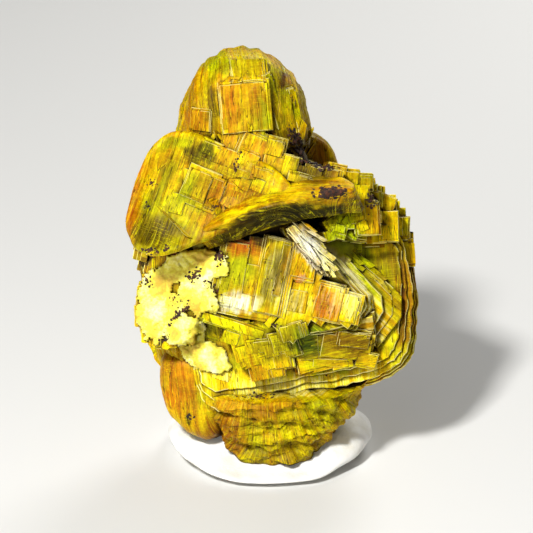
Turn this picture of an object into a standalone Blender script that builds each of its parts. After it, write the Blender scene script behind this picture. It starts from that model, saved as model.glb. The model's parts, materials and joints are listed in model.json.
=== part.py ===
"""A uranocircite specimen: one cluster of intergrown books of square, tabular crystals, standing in a dab of putty.

Each book is a stack of ledges. A ledge is a flat slab whose outline grows from the book's front face to its back,
so the stack steps like a terrace. All ledges and a lump of massive mineral inside them are joined in one solid.
The putty is a pad turned on its own axis, with a pocket for the foot of the cluster.
The outlines are in millimetres on the book's own face, u to the right and v upwards as one looks at the face.
The model is in metres, +Z up, with the origin in the middle of the putty's flat underside. The specimen's best
side faces -Y.
"""

import math
import random
from collections import namedtuple

import bmesh
import bpy
from mathutils import Matrix, Vector

MM = 0.001
SEED = 7

# Driving dimensions, in millimetres.
PUTTY_WIDTH = 10.6
PUTTY_DEPTH = 10.8
PUTTY_RISE = 0.13  # how much thicker the putty is for each millimetre towards its back, as a share
PUTTY_WAVE = 0.02  # how far its rim waves in and out, as a share of its radius
PUTTY_STEPS = 48
POCKET_GAP = 0.32  # between the cluster's foot and the putty around it
POCKET_REACH = 2.3  # ledges that reach below this height are given room in the putty
LEDGE_OVERLAP = 0.3
MINERAL_COLOUR = (0.47, 0.42, 0.06)
PUTTY_COLOUR = (0.8, 0.79, 0.76)
OUTLINE_JITTER = 0.09
TURN_JITTER = 2.0  # degrees

# The massive mineral inside the books: the middle and the radii of a large lump and of one under the crown.
LUMPS = [((0.4, 0.4, 9.6), (5.6, 3.6, 8.4)), ((-1.1, 0.0, 16.4), (2.7, 2.5, 2.6))]

# The putty's profile from the middle of its top down its outer side to its underside, as radius and height.
PUTTY_PROFILE = [
    (0.0, 1.55), (3.2, 1.5), (4.3, 1.35), (4.85, 1.0), (5.05, 0.6), (4.95, 0.25), (4.6, 0.0), (0.0, 0.0),
]

# Its name, the middle of its face, the way it faces, the outlines of its face and its back, its depth, the number
# of its ledges, and how far the face bends up (or, when negative, down) with the square of the distance.
Book = namedtuple("Book", "name place facing front back depth ledges bow", defaults=(0.0,))


def scaled(outline, across, up):
    """The outline stretched across and upwards."""
    return [(u * across, v * up) for u, v in outline]


def table(width, height, cuts, lean=0.0):
    """A square tabular crystal's outline. Its corners are cut by these amounts, clockwise from the lower left, and
    its upper half leans to the right by lean."""
    w, h = width / 2, height / 2
    low_left, high_left, high_right, low_right = cuts
    points = [
        (-w, -h + low_left),
        (-w, h - high_left),
        (-w + high_left, h),
        (w - high_right, h),
        (w, h - high_right),
        (w, -h + low_right),
        (w - low_right, -h),
        (-w + low_left, -h),
    ]
    return [(u + lean * v / h, v) for u, v in points]


CROWN_FRONT = [
    (-0.9, -2.5), (-1.0, -1.2), (-1.1, -0.3), (-1.1, 0.5), (-0.5, 1.2), (0.1, 1.3),
    (0.8, 1.1), (1.0, 0.6), (1.1, -0.3), (1.2, -1.3), (1.3, -2.7),
]
CROWN_BACK = [
    (-3.4, -2.5), (-3.3, -1.0), (-3.0, 0.1), (-2.4, 1.4), (-1.5, 2.4), (-0.1, 2.8),
    (1.3, 2.5), (2.4, 1.5), (3.1, 0.3), (3.5, -1.3), (3.2, -2.8),
]
SAUCER = [
    (-2.8, 1.9), (-2.0, 2.9), (-1.2, 3.4), (0.0, 3.2), (0.8, 2.7), (2.0, 2.4), (3.4, 1.9),
    (4.8, 1.0), (5.6, 0.4), (4.5, 0.0), (3.1, -0.5), (1.9, -1.3), (0.5, -2.0), (-0.8, -2.6),
    (-1.9, -3.0), (-2.9, -2.7), (-3.5, -1.9), (-3.55, -1.0), (-3.2, 0.5),
]
STAIR = [
    (-2.2, 1.2), (-1.4, 1.9), (0.1, 1.3), (0.1, 0.8), (0.9, 0.5), (0.9, 0.2), (1.7, 0.2),
    (1.7, -0.1), (2.5, -0.1), (2.6, -0.5), (3.4, -0.7), (3.2, -1.1), (0.5, -1.2), (-2.4, -0.6),
]
LIP_TOP = [
    (-4.9, 0.0), (-4.2, 0.2), (-3.0, 0.3), (-1.0, 0.9), (1.0, 1.3), (2.8, 1.1), (3.9, 0.5), (3.9, -0.2),
    (3.4, -0.4), (2.6, -0.6), (1.4, -0.8), (0.5, -0.9), (-0.9, -0.9), (-2.2, -0.85), (-3.6, -0.7),
]
LIP_UNDER = [
    (-4.3, 0.2), (-3.8, 0.4), (-2.8, 0.5), (-1.0, 1.0), (1.0, 1.3), (2.8, 1.1), (3.9, 0.6), (3.9, 0.1),
    (3.4, -0.1), (2.6, -0.2), (1.4, -0.3), (0.5, -0.35), (-0.9, -0.35), (-2.2, -0.3), (-3.4, -0.1),
]
CENTRE_BLOCK = [
    (-1.4, 1.9), (1.9, 1.8), (1.6, 0.1), (1.0, -2.1), (-0.5, -1.9), (-1.9, -1.7), (-1.7, 0.2),
]
PALE_BLOCK = [
    (-1.7, 1.3), (-0.5, 2.4), (1.1, 2.6), (2.4, 2.3), (2.6, 1.6), (2.1, 0.4), (1.8, -0.7),
    (1.0, -1.4), (0.5, -2.4), (-0.8, -2.8), (-2.0, -2.5), (-2.4, -1.6), (-2.4, -0.1),
]
TAN_FACE = [
    (-1.4, 2.1), (-0.6, 2.9), (0.6, 0.9), (1.7, -0.4), (2.0, -0.8), (1.7, -1.9), (-0.6, -2.1),
    (-2.2, -1.8), (-2.1, -1.1), (-1.7, 0.5),
]
CHEVRON_FRONT = [
    (-1.7, 3.2), (-1.0, 3.3), (0.4, 1.4), (1.4, -0.3), (1.6, -0.8), (1.1, -2.3), (-1.0, -2.6),
    (-2.3, -2.3), (-2.5, 1.0),
]
CHEVRON_BACK = [
    (-1.2, 3.4), (0.2, 3.1), (2.6, 1.4), (4.2, -0.4), (4.4, -1.0), (3.4, -3.0), (0.3, -3.5),
    (-2.0, -2.8), (-2.5, 1.0),
]
SHOULDER_FRONT = [
    (-2.1, 1.4), (-1.0, 1.7), (0.2, 1.4), (0.4, 0.2), (0.6, -0.9), (-0.7, -1.2), (-2.0, -1.0),
]
SHOULDER_BACK = [
    (-1.3, 1.8), (0.2, 1.9), (1.3, 1.6), (2.9, 0.0), (3.6, -1.7), (2.5, -3.0), (-0.8, -2.2),
]
BODY_FRONT = [
    (-3.5, 2.9), (-1.3, 3.5), (2.3, 3.5), (4.7, 2.7), (5.4, 1.0), (5.2, -1.3), (4.0, -2.9),
    (1.3, -3.5), (-2.3, -3.4), (-4.5, -2.3), (-5.3, 0.0),
]
BODY_BACK = [
    (-6.7, 2.6), (-5.0, 7.0), (3.0, 7.6), (6.1, 5.4), (7.1, 1.5), (7.0, -1.2), (5.6, -3.2),
    (2.3, -5.0), (-2.7, -5.2), (-6.0, -3.8), (-7.2, -0.3),
]
STEP_BLOCK = [
    (-2.3, 1.1), (-0.4, 1.4), (1.5, 0.9), (1.7, 0.1), (1.2, -0.1), (1.3, -0.6), (0.7, -0.8),
    (0.8, -1.2), (-0.4, -1.5), (-1.3, -1.2), (-1.9, -0.3),
]
GREEN_BLOCK = [
    (-2.0, 0.7), (-0.3, 1.4), (1.4, 1.4), (2.0, 0.8), (2.1, 0.0), (1.8, -0.2), (2.0, -0.9),
    (0.3, -1.4), (-1.8, -1.4),
]
BAND = [
    (-4.9, 0.9), (-3.0, 0.6), (-0.8, 0.6), (1.8, 0.65), (3.8, 0.75), (5.0, 0.55), (4.9, -0.05),
    (3.8, -0.45), (1.8, -0.7), (-0.3, -0.95), (-2.0, -1.25), (-3.6, -1.5), (-4.4, -0.8),
]
FOOT_UNDER = [
    (-2.7, -1.2), (-2.7, 1.2), (-1.7, 2.5), (0.7, 2.75), (1.8, 2.1), (2.4, 0.7), (1.9, -1.6),
    (0.2, -2.4), (-1.3, -2.3),
]
FOOT_TOP = [
    (-5.2, -2.0), (-5.0, 0.6), (-3.2, 3.0), (0.4, 3.4), (3.5, 2.6), (5.1, 0.6), (4.6, -2.8),
    (1.0, -4.8), (-3.0, -4.6),
]
AMBER_LOBE = [
    (-1.65, 2.15), (0.65, 2.5), (1.9, 1.25), (1.9, -0.75), (1.35, -2.25), (0.1, -1.95), (-0.9, -1.1),
    (-1.5, 0.25),
]
REAR_MAIN_FRONT = [
    (-2.6, -3.4), (-3.4, -1.0), (-3.0, 2.3), (-1.2, 3.6), (1.5, 3.1), (3.1, 1.6), (3.3, -1.8), (1.4, -3.9),
]
REAR_MAIN_BACK = [
    (-5.0, -5.6), (-6.3, -1.2), (-5.0, 3.4), (-2.6, 6.1), (2.8, 6.2), (6.2, 2.8), (6.6, -2.0), (3.4, -6.2),
]

REAR_DISC = table(3.0, 3.0, (0.9, 0.8, 0.9, 0.8))
REAR_CROWN_FRONT = table(3.0, 3.4, (0.9, 0.4, 1.1, 0.5), 0.2)
REAR_CROWN_BACK = table(5.8, 5.0, (1.4, 1.5, 2.0, 1.2), 0.1)
REAR_UPPER = table(4.4, 3.6, (0.5, 1.3, 0.6, 1.0), 0.4)
REAR_RIGHT = table(3.2, 4.2, (0.6, 1.2, 0.5, 0.9), -0.3)
REAR_LOW = table(4.2, 3.2, (1.3, 0.6, 0.4, 1.1), -0.3)
REAR_STEP = table(2.9, 2.5, (0.3, 0.7, 0.3, 0.6), 0.3)
REAR_CHIP = table(2.4, 2.9, (0.7, 0.3, 0.8, 0.2), -0.2)
FLANK_LEFT = table(3.6, 4.4, (0.5, 1.4, 0.7, 1.2), 0.5)
FLANK_RIGHT = table(3.2, 4.6, (1.2, 0.5, 1.0, 0.6), 0.4)

CAMERA_FACING = (0.0, -0.93, 0.37)

BOOKS = [
    Book("crown", (-1.2, -2.0, 19.7), CAMERA_FACING, CROWN_FRONT, CROWN_BACK, 3.4, 6),
    Book("saucer", (-3.3, -3.4, 14.9), (-0.1, -0.92, 0.38), SAUCER, scaled(SAUCER, 0.86, 0.8), 4.4, 5, 0.05),
    Book("stair", (0.7, -3.2, 16.2), CAMERA_FACING, STAIR, scaled(STAIR, 1.08, 1.05), 1.6, 2),
    Book("lip", (0.3, -4.2, 15.5), (-0.3, -0.3, 0.905), LIP_TOP, LIP_UNDER, 1.3, 2, -0.05),
    Book("centre_block", (-0.9, -3.9, 10.9), (-0.12, -0.95, 0.28), CENTRE_BLOCK, scaled(CENTRE_BLOCK, 1.1, 1.0), 2.6, 3),
    Book("pale_block", (-4.3, -3.0, 9.5), (-0.35, -0.9, 0.25), PALE_BLOCK, scaled(PALE_BLOCK, 1.05, 1.02), 2.6, 3),
    Book("tan_face", (2.3, -4.2, 10.3), (0.05, -0.95, 0.3), TAN_FACE, scaled(TAN_FACE, 1.05, 1.05), 1.8, 2),
    Book("chevrons", (3.2, -3.5, 10.2), (0.18, -0.93, 0.3), CHEVRON_FRONT, CHEVRON_BACK, 3.0, 5),
    Book("shoulder", (4.9, -2.6, 14.3), (0.3, -0.88, 0.37), SHOULDER_FRONT, SHOULDER_BACK, 3.2, 5),
    Book("body", (0.9, -2.4, 8.0), (0.08, -0.97, 0.2), BODY_FRONT, BODY_BACK, 3.6, 6),
    Book("step_block", (0.2, -4.3, 7.4), (-0.05, -0.99, 0.05), STEP_BLOCK, scaled(STEP_BLOCK, 1.1, 1.1), 1.4, 2),
    Book("green_block", (3.4, -4.0, 7.3), (0.1, -0.99, -0.02), GREEN_BLOCK, scaled(GREEN_BLOCK, 1.1, 1.1), 1.6, 2),
    Book("band", (1.4, -4.4, 5.7), (0.0, -0.98, 0.15), BAND, scaled(BAND, 1.02, 1.1), 2.6, 3, -0.05),
    Book("foot", (0.55, -1.5, 0.62), (0.03, 0.04, -1.0), FOOT_UNDER, FOOT_TOP, 4.0, 6),
    Book("amber_lobe", (-3.9, -1.6, 3.67), (-0.45, -0.88, 0.1), AMBER_LOBE, scaled(AMBER_LOBE, 1.05, 1.05), 2.6, 2),
    Book("rear_disc", (2.3, 2.0, 14.5), (0.5, -0.8, 0.3), REAR_DISC, scaled(REAR_DISC, 1.2, 1.2), 1.6, 2),
    Book("rear_main", (0.9, 4.5, 9.8), (0.12, 0.97, -0.1), REAR_MAIN_FRONT, REAR_MAIN_BACK, 3.6, 5),
    Book("rear_crown", (-1.1, 2.4, 18.4), (0.1, 0.93, 0.35), REAR_CROWN_FRONT, REAR_CROWN_BACK, 2.4, 4),
    Book("rear_upper", (-2.6, 3.3, 14.3), (-0.25, 0.85, 0.45), REAR_UPPER, scaled(REAR_UPPER, 1.4, 1.4), 2.4, 4),
    Book("rear_right", (3.9, 3.4, 10.7), (0.55, 0.8, 0.1), REAR_RIGHT, scaled(REAR_RIGHT, 1.5, 1.35), 2.8, 4),
    Book("rear_low", (-2.0, 4.0, 5.6), (-0.3, 0.85, -0.3), REAR_LOW, scaled(REAR_LOW, 1.5, 1.5), 2.6, 4),
    Book("rear_step", (2.4, 4.8, 7.0), (0.1, 0.95, 0.2), REAR_STEP, scaled(REAR_STEP, 1.4, 1.4), 1.4, 2),
    Book("rear_ridge", (2.0, 3.9, 12.4), (-0.15, 0.9, 0.35), REAR_STEP, scaled(REAR_STEP, 1.4, 1.4), 1.8, 3),
    Book("rear_chip", (-3.6, 4.0, 9.9), (-0.4, 0.9, -0.2), REAR_CHIP, scaled(REAR_CHIP, 1.3, 1.5), 1.6, 3),
    Book("rear_foot", (2.1, 3.3, 4.0), (0.2, 0.85, -0.45), REAR_CHIP, scaled(REAR_CHIP, 2.0, 1.5), 1.8, 3),
    Book("flank_left", (-6.2, 1.6, 11.4), (-0.93, 0.25, 0.15), FLANK_LEFT, scaled(FLANK_LEFT, 1.5, 1.35), 2.6, 4),
    Book("flank_chip", (-6.1, -0.2, 8.1), (-0.95, -0.2, -0.1), REAR_CHIP, scaled(REAR_CHIP, 1.5, 1.4), 1.6, 3),
    Book("flank_low", (-4.9, 1.9, 5.2), (-0.85, 0.35, -0.35), REAR_STEP, scaled(REAR_STEP, 1.5, 1.4), 1.8, 3),
    Book("flank_right", (7.3, 1.6, 9.2), (0.96, 0.18, 0.1), FLANK_RIGHT, scaled(FLANK_RIGHT, 1.6, 1.5), 2.6, 4),
    Book("flank_heel", (6.0, 0.4, 5.0), (0.85, -0.1, -0.4), REAR_STEP, scaled(REAR_STEP, 1.5, 1.4), 1.8, 3),
]


def axes_of(facing):
    """The book's own axes: u to the right and v upwards on its face, and n out of the face."""
    n = Vector(facing).normalized()
    steep = abs(n.z) > 0.8
    if steep:
        u = (Vector((1, 0, 0)) - n * n.x).normalized()
        return u, n.cross(u), n
    v = (Vector((0, 0, 1)) - n * n.z).normalized()
    return v.cross(n), v, n


def between(front, back, share):
    """The outline at this share of the way from the front one to the back one."""
    return [(fu + (bu - fu) * share, fv + (bv - fv) * share) for (fu, fv), (bu, bv) in zip(front, back)]


def roughened(outline, rng):
    """The outline turned by a degree or so, each corner moved a little."""
    turn = Matrix.Rotation(math.radians(rng.uniform(-TURN_JITTER, TURN_JITTER)), 2)
    moved = []
    for u, v in outline:
        du = rng.uniform(-OUTLINE_JITTER, OUTLINE_JITTER)
        dv = rng.uniform(-OUTLINE_JITTER, OUTLINE_JITTER)
        moved.append(turn @ Vector((u + du, v + dv)))
    return moved


def grown(outline, by):
    """The outline with each corner moved away from its middle."""
    middle = sum((Vector(point) for point in outline), Vector((0, 0))) / len(outline)
    return [Vector(point) + (Vector(point) - middle).normalized() * by for point in outline]


def slab(name, outline, top, bottom):
    """A flat outline made solid between two heights, as a mesh object."""
    curve = bpy.data.curves.new(name, "CURVE")
    curve.dimensions = "2D"
    curve.fill_mode = "BOTH"
    curve.extrude = (top - bottom) * MM / 2
    spline = curve.splines.new("POLY")
    spline.points.add(len(outline) - 1)
    for point, (u, v) in zip(spline.points, outline):
        point.co = (u * MM, v * MM, 0, 1)
    spline.use_cyclic_u = True
    drawn = bpy.data.objects.new(name, curve)
    bpy.context.scene.collection.objects.link(drawn)
    graph = bpy.context.evaluated_depsgraph_get()
    mesh = bpy.data.meshes.new_from_object(drawn.evaluated_get(graph))
    bpy.data.objects.remove(drawn)
    mesh.transform(Matrix.Translation((0, 0, (top + bottom) * MM / 2)))
    closed = bmesh.new()
    closed.from_mesh(mesh)
    bmesh.ops.remove_doubles(closed, verts=closed.verts, dist=1e-7)
    bmesh.ops.recalc_face_normals(closed, faces=closed.faces)
    closed.to_mesh(mesh)
    closed.free()
    return bpy.data.objects.new(name, mesh)


def bowed(mesh, bow):
    """Cuts the slab into strips both ways and lifts it by bow times the square of the distance from its middle."""
    cut = bmesh.new()
    cut.from_mesh(mesh)
    for normal in ((1, 0, 0), (0, 1, 0)):
        for place in (-3, -1.5, 0, 1.5, 3):
            everything = cut.verts[:] + cut.edges[:] + cut.faces[:]
            bmesh.ops.bisect_plane(cut, geom=everything, plane_co=Vector(normal) * place * MM, plane_no=normal)
    for vert in cut.verts:
        vert.co.z += bow * (vert.co.x ** 2 + vert.co.y ** 2) / MM
    cut.to_mesh(mesh)
    cut.free()


def ledges_of(book):
    """The book's slabs, each placed where it lies in the specimen, with its outline and its thickness."""
    rng = random.Random(f"{SEED} {book.name}")
    u, v, n = axes_of(book.facing)
    turn = Matrix((u, v, n)).transposed().to_4x4()
    step = book.depth / book.ledges
    ledges = []
    for index in range(book.ledges):
        share = index / max(1, book.ledges - 1)
        outline = roughened(between(book.front, book.back, share), rng)
        ledge = slab(f"{book.name}_{index + 1}", outline, 0, -step - LEDGE_OVERLAP)
        if book.bow:
            bowed(ledge.data, book.bow)
        ledge.matrix_world = Matrix.Translation((Vector(book.place) - n * step * index) * MM) @ turn
        ledges.append((ledge, outline, step))
    return ledges


def lump_of(middle, radii):
    """A rounded lump, of plane facets."""
    bpy.ops.mesh.primitive_ico_sphere_add(subdivisions=2, radius=1)
    lump = bpy.context.object
    lump.data.transform(Matrix.Translation(Vector(middle) * MM) @ Matrix.Diagonal((*(Vector(radii) * MM), 1)))
    return lump


def hidden(name):
    """A collection of helpers, which the render leaves out."""
    helpers = bpy.data.collections.new(name)
    helpers.hide_render = True
    bpy.context.scene.collection.children.link(helpers)
    return helpers


def put_in(helpers, shape):
    shape.hide_render = True
    shape.display_type = "WIRE"
    helpers.objects.link(shape)


def combined(target, operation, helpers):
    """Joins the helpers to the target, or cuts them from it."""
    boolean = target.modifiers.new(helpers.name, "BOOLEAN")
    boolean.operation = operation
    boolean.operand_type = "COLLECTION"
    boolean.collection = helpers
    boolean.solver = "EXACT"


def putty():
    """The pad: its profile turned once, made wider than deep, thicker at its back and wavy at its rim."""
    profile = bpy.data.meshes.new("mounting_putty")
    points = [(radius * MM, 0, height * MM) for radius, height in PUTTY_PROFILE]
    profile.from_pydata(points, [(end - 1, end) for end in range(1, len(points))], [])
    pad = bpy.data.objects.new("mounting_putty", profile)
    bpy.context.scene.collection.objects.link(pad)
    turn = pad.modifiers.new("turn", "SCREW")
    turn.steps = turn.render_steps = PUTTY_STEPS
    turn.use_merge_vertices = True
    turn.merge_threshold = 1e-5
    graph = bpy.context.evaluated_depsgraph_get()
    pad.data = bpy.data.meshes.new_from_object(pad.evaluated_get(graph))
    pad.modifiers.clear()
    widest = max(radius for radius, _ in PUTTY_PROFILE)
    for vert in pad.data.vertices:
        around = math.atan2(vert.co.y, vert.co.x)
        wave = 1 + PUTTY_WAVE * (math.sin(3 * around + 0.6) + 0.5 * math.sin(5 * around + 2.1))
        vert.co.x *= wave * PUTTY_WIDTH / 2 / widest
        vert.co.y *= wave * PUTTY_DEPTH / 2 / widest
        vert.co.z *= 1 + PUTTY_RISE * vert.co.y / MM
    return pad


def finished(piece, colour, roughness):
    """Gives the piece its material."""
    material = bpy.data.materials.new(piece.name)
    material.use_nodes = True
    surface = material.node_tree.nodes["Principled BSDF"]
    surface.inputs["Base Color"].default_value = (*colour, 1)
    surface.inputs["Roughness"].default_value = roughness
    surface.inputs["Metallic"].default_value = 0
    piece.data.materials.clear()
    piece.data.materials.append(material)


def main():
    for old in list(bpy.data.objects):
        bpy.data.objects.remove(old)
    joined = hidden("ledges to join")
    pocket = hidden("pocket to cut")
    for book in BOOKS:
        for ledge, outline, step in ledges_of(book):
            put_in(joined, ledge)
            lowest = min((ledge.matrix_world @ vert.co).z for vert in ledge.data.vertices)
            if lowest < POCKET_REACH * MM:
                wider = grown(outline, POCKET_GAP * 1.15)
                room = slab(f"{ledge.name}_room", wider, POCKET_GAP, -step - LEDGE_OVERLAP - POCKET_GAP)
                room.matrix_world = ledge.matrix_world
                put_in(pocket, room)
    cluster, smaller = (lump_of(*lump) for lump in LUMPS)
    put_in(joined, smaller)
    cluster.name = "crystal_cluster"
    combined(cluster, "UNION", joined)
    pad = putty()
    combined(pad, "DIFFERENCE", pocket)
    finished(cluster, MINERAL_COLOUR, 0.35)
    finished(pad, PUTTY_COLOUR, 0.7)
    specimen = bpy.data.collections.new("uranocircite specimen")
    bpy.context.scene.collection.children.link(specimen)
    for piece in (cluster, pad):
        for holder in list(piece.users_collection):
            holder.objects.unlink(piece)
        specimen.objects.link(piece)


main()
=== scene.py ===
"""A uranocircite specimen: books of square cleavage sheets grown together, held in a dab of white putty."""

import json
import math
import random
from collections import namedtuple

import bpy
from mathutils import Matrix, Vector, noise
from mathutils.bvhtree import BVHTree

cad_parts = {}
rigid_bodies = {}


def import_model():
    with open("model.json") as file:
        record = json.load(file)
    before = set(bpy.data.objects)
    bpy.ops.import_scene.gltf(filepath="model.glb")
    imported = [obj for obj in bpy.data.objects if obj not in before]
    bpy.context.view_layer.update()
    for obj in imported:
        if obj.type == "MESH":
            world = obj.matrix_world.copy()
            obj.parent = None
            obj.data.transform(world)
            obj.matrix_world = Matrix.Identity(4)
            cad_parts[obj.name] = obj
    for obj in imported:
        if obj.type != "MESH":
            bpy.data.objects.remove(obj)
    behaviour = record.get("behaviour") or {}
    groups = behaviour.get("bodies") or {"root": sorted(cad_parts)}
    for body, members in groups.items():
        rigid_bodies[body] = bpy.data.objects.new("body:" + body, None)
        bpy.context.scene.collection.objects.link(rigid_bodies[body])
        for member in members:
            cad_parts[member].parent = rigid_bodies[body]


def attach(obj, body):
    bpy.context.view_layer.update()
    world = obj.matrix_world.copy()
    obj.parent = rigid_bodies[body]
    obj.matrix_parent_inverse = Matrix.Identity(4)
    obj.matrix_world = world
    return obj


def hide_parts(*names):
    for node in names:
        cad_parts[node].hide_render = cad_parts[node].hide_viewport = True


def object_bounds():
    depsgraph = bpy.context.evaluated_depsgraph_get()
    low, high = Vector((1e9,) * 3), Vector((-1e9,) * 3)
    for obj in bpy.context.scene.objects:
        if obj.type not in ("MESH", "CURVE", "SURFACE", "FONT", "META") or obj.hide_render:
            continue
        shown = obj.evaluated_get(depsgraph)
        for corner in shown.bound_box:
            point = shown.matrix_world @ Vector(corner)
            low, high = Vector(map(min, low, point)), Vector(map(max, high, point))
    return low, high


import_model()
cad_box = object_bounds()

MM = 0.001
SEED = 7
noise.seed_set(SEED)  # noise_vector, which tilts the chips of the crust, draws from this
UP_IN_VIEW = Vector((0.0, 0.375, 0.927))  # the upward direction as the eye has it, 22 degrees above level
TO_EYE = Vector((0.0, -0.927, 0.375))

# ---------------------------------------------------------------- outlines, in millimetres


def scaled(outline, across, up):
    return [(u * across, v * up) for u, v in outline]


def table(width, height, cuts, lean=0.0):
    """A square-cornered crystal table with each corner cut off: low left, high left, high right, low
    right."""
    w, h = width / 2, height / 2
    low_left, high_left, high_right, low_right = cuts
    points = [
        (-w, -h + low_left), (-w, h - high_left), (-w + high_left, h), (w - high_right, h),
        (w, h - high_right), (w, -h + low_right), (w - low_right, -h), (-w + low_left, -h),
    ]
    return [(u + lean * v / h, v) for u, v in points]


CROWN_FRONT = [
    (-0.9, -2.5), (-1.0, -1.2), (-1.1, -0.3), (-1.1, 0.5), (-0.5, 1.2), (0.1, 1.3),
    (0.8, 1.1), (1.0, 0.6), (1.1, -0.3), (1.2, -1.3), (1.3, -2.7),
]
CROWN_BACK = [
    (-3.4, -2.5), (-3.3, -1.0), (-3.0, 0.1), (-2.4, 1.4), (-1.5, 2.4), (-0.1, 2.8),
    (1.3, 2.5), (2.4, 1.5), (3.1, 0.3), (3.5, -1.3), (3.2, -2.8),
]
SAUCER = [
    (-2.8, 1.9), (-2.0, 2.9), (-1.2, 3.4), (0.0, 3.2), (0.8, 2.7), (2.0, 2.4), (3.4, 1.9),
    (4.4, 1.1), (4.8, 0.5), (4.2, 0.0), (3.1, -0.5), (1.9, -1.3), (0.5, -2.0), (-0.8, -2.6),
    (-1.9, -3.0), (-2.9, -2.7), (-3.5, -1.9), (-3.55, -1.0), (-3.2, 0.5),
]
STAIR = [
    (-2.2, 1.2), (-1.4, 1.9), (0.1, 1.3), (0.1, 0.8), (0.9, 0.5), (0.9, 0.2), (1.7, 0.2),
    (1.7, -0.1), (2.5, -0.1), (2.6, -0.5), (3.4, -0.7), (3.2, -1.1), (0.5, -1.2), (-2.4, -0.6),
]
LIP_TOP = [
    (-4.9, 0.0), (-4.2, 0.2), (-3.0, 0.3), (-1.0, 0.9), (1.0, 1.3), (2.8, 1.1), (3.9, 0.5), (3.9, -0.2),
    (3.4, -0.4), (2.6, -0.6), (1.4, -0.8), (0.5, -0.9), (-0.9, -0.9), (-2.2, -0.85), (-3.6, -0.7),
]
LIP_UNDER = [
    (-4.3, 0.2), (-3.8, 0.4), (-2.8, 0.5), (-1.0, 1.0), (1.0, 1.3), (2.8, 1.1), (3.9, 0.6), (3.9, 0.1),
    (3.4, -0.1), (2.6, -0.2), (1.4, -0.3), (0.5, -0.35), (-0.9, -0.35), (-2.2, -0.3), (-3.4, -0.1),
]
CENTRE_BLOCK = [
    (-1.4, 1.9), (1.9, 1.8), (1.6, 0.1), (1.0, -2.1), (-0.5, -1.9), (-1.9, -1.7), (-1.7, 0.2),
]
PALE_BLOCK = [
    (-1.7, 1.3), (-0.5, 2.4), (1.1, 2.6), (2.4, 2.3), (2.6, 1.6), (2.1, 0.4), (1.8, -0.7),
    (1.0, -1.4), (0.5, -2.4), (-0.8, -2.8), (-2.0, -2.5), (-2.4, -1.6), (-2.4, -0.1),
]
TAN_FACE = [
    (-1.4, 2.1), (-0.6, 2.9), (0.6, 0.9), (1.7, -0.4), (2.0, -0.8), (1.7, -1.9), (-0.6, -2.1),
    (-2.2, -1.8), (-2.1, -1.1), (-1.7, 0.5),
]
CHEVRON_FRONT = [
    (-2.45, 1.7), (-0.9, 2.15), (0.65, 0.3), (0.8, -0.2), (0.2, -1.25), (-2.25, -1.75), (-2.85, 0.0),
]
CHEVRON_BACK = [
    (-2.25, 3.1), (0.1, 3.0), (2.85, 0.15), (2.85, -0.9), (1.65, -2.4), (-2.25, -2.6), (-3.05, 0.0),
]
TERRACE_FRONT = [
    (1.5, 3.9), (3.9, 3.2), (4.15, 0.0), (3.95, -2.3), (3.3, -3.1), (1.5, -3.5), (-1.0, -4.0),
    (-3.5, -4.4), (-5.8, -4.7), (-6.3, -2.5), (-4.75, 2.0), (-1.5, 3.5),
]
TERRACE_BACK = [
    (1.5, 5.9), (4.2, 4.0), (5.05, 0.75), (5.0, -2.4), (4.2, -3.7), (2.25, -4.6), (-1.5, -5.1),
    (-3.5, -6.1), (-5.6, -6.3), (-6.8, -3.0), (-5.25, 2.5), (-2.0, 4.4),
]
SHOULDER_FRONT = [
    (-2.1, 1.4), (-1.0, 1.7), (0.2, 1.4), (0.4, 0.2), (0.6, -0.9), (-0.7, -1.2), (-2.0, -1.0),
]
SHOULDER_BACK = [
    (-1.3, 1.75), (0.2, 1.75), (1.0, 1.35), (2.7, 0.0), (3.5, -1.7), (2.5, -3.0), (-0.8, -2.2),
]
BODY_FRONT = [
    (-3.5, 2.9), (-1.3, 3.5), (2.3, 3.5), (4.7, 2.7), (5.4, 1.0), (5.2, -1.3), (4.0, -2.9),
    (1.3, -3.5), (-2.3, -3.4), (-4.5, -2.3), (-5.3, 0.0),
]
BODY_BACK = [
    (-6.7, 2.6), (-5.0, 7.0), (3.0, 7.6), (6.1, 5.4), (7.1, 1.5), (7.0, -1.2), (5.6, -3.2),
    (2.3, -5.0), (-2.7, -5.2), (-6.0, -3.8), (-7.2, -0.3),
]
STEP_BLOCK = [
    (-2.3, 1.1), (-0.4, 1.4), (1.5, 0.9), (1.7, 0.1), (1.2, -0.1), (1.3, -0.6), (0.7, -0.8),
    (0.8, -1.2), (-0.4, -1.5), (-1.3, -1.2), (-1.9, -0.3),
]
GREEN_BLOCK = [
    (-2.0, 0.7), (-0.3, 1.4), (1.4, 1.4), (2.0, 0.8), (2.1, 0.0), (1.8, -0.2), (2.0, -0.9),
    (0.3, -1.4), (-1.8, -1.4),
]
BAND = [
    (-4.9, 0.9), (-3.0, 0.6), (-0.8, 0.6), (1.8, 0.65), (3.8, 0.75), (5.0, 0.55), (4.9, -0.05),
    (3.8, -0.45), (1.8, -0.7), (-0.3, -0.95), (-2.0, -1.25), (-3.6, -1.5), (-4.4, -0.8),
]
FOOT_UNDER = [
    (-2.7, -1.2), (-2.7, 1.2), (-1.7, 2.5), (0.7, 2.75), (1.8, 2.1), (2.4, 0.7), (1.9, -1.6),
    (0.2, -2.4), (-1.3, -2.3),
]
FOOT_TOP = [
    (-4.5, -1.8), (-4.3, 0.6), (-3.0, 2.6), (0.4, 3.3), (3.5, 2.6), (5.0, 0.6), (4.5, -2.8),
    (1.0, -4.8), (-3.0, -4.2),
]
WHITE_FAN = [
    (-1.2, 0.9), (-0.8, 1.25), (-0.2, 0.9), (0.5, 0.1), (1.0, -0.8), (0.8, -1.2), (0.2, -0.9), (-0.6, -0.1),
]
AMBER_LOBE = [
    (-1.65, 2.15), (0.65, 2.5), (1.9, 1.25), (1.9, -0.75), (1.35, -2.25), (0.1, -1.95), (-0.9, -1.1),
    (-1.5, 0.25),
]
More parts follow.
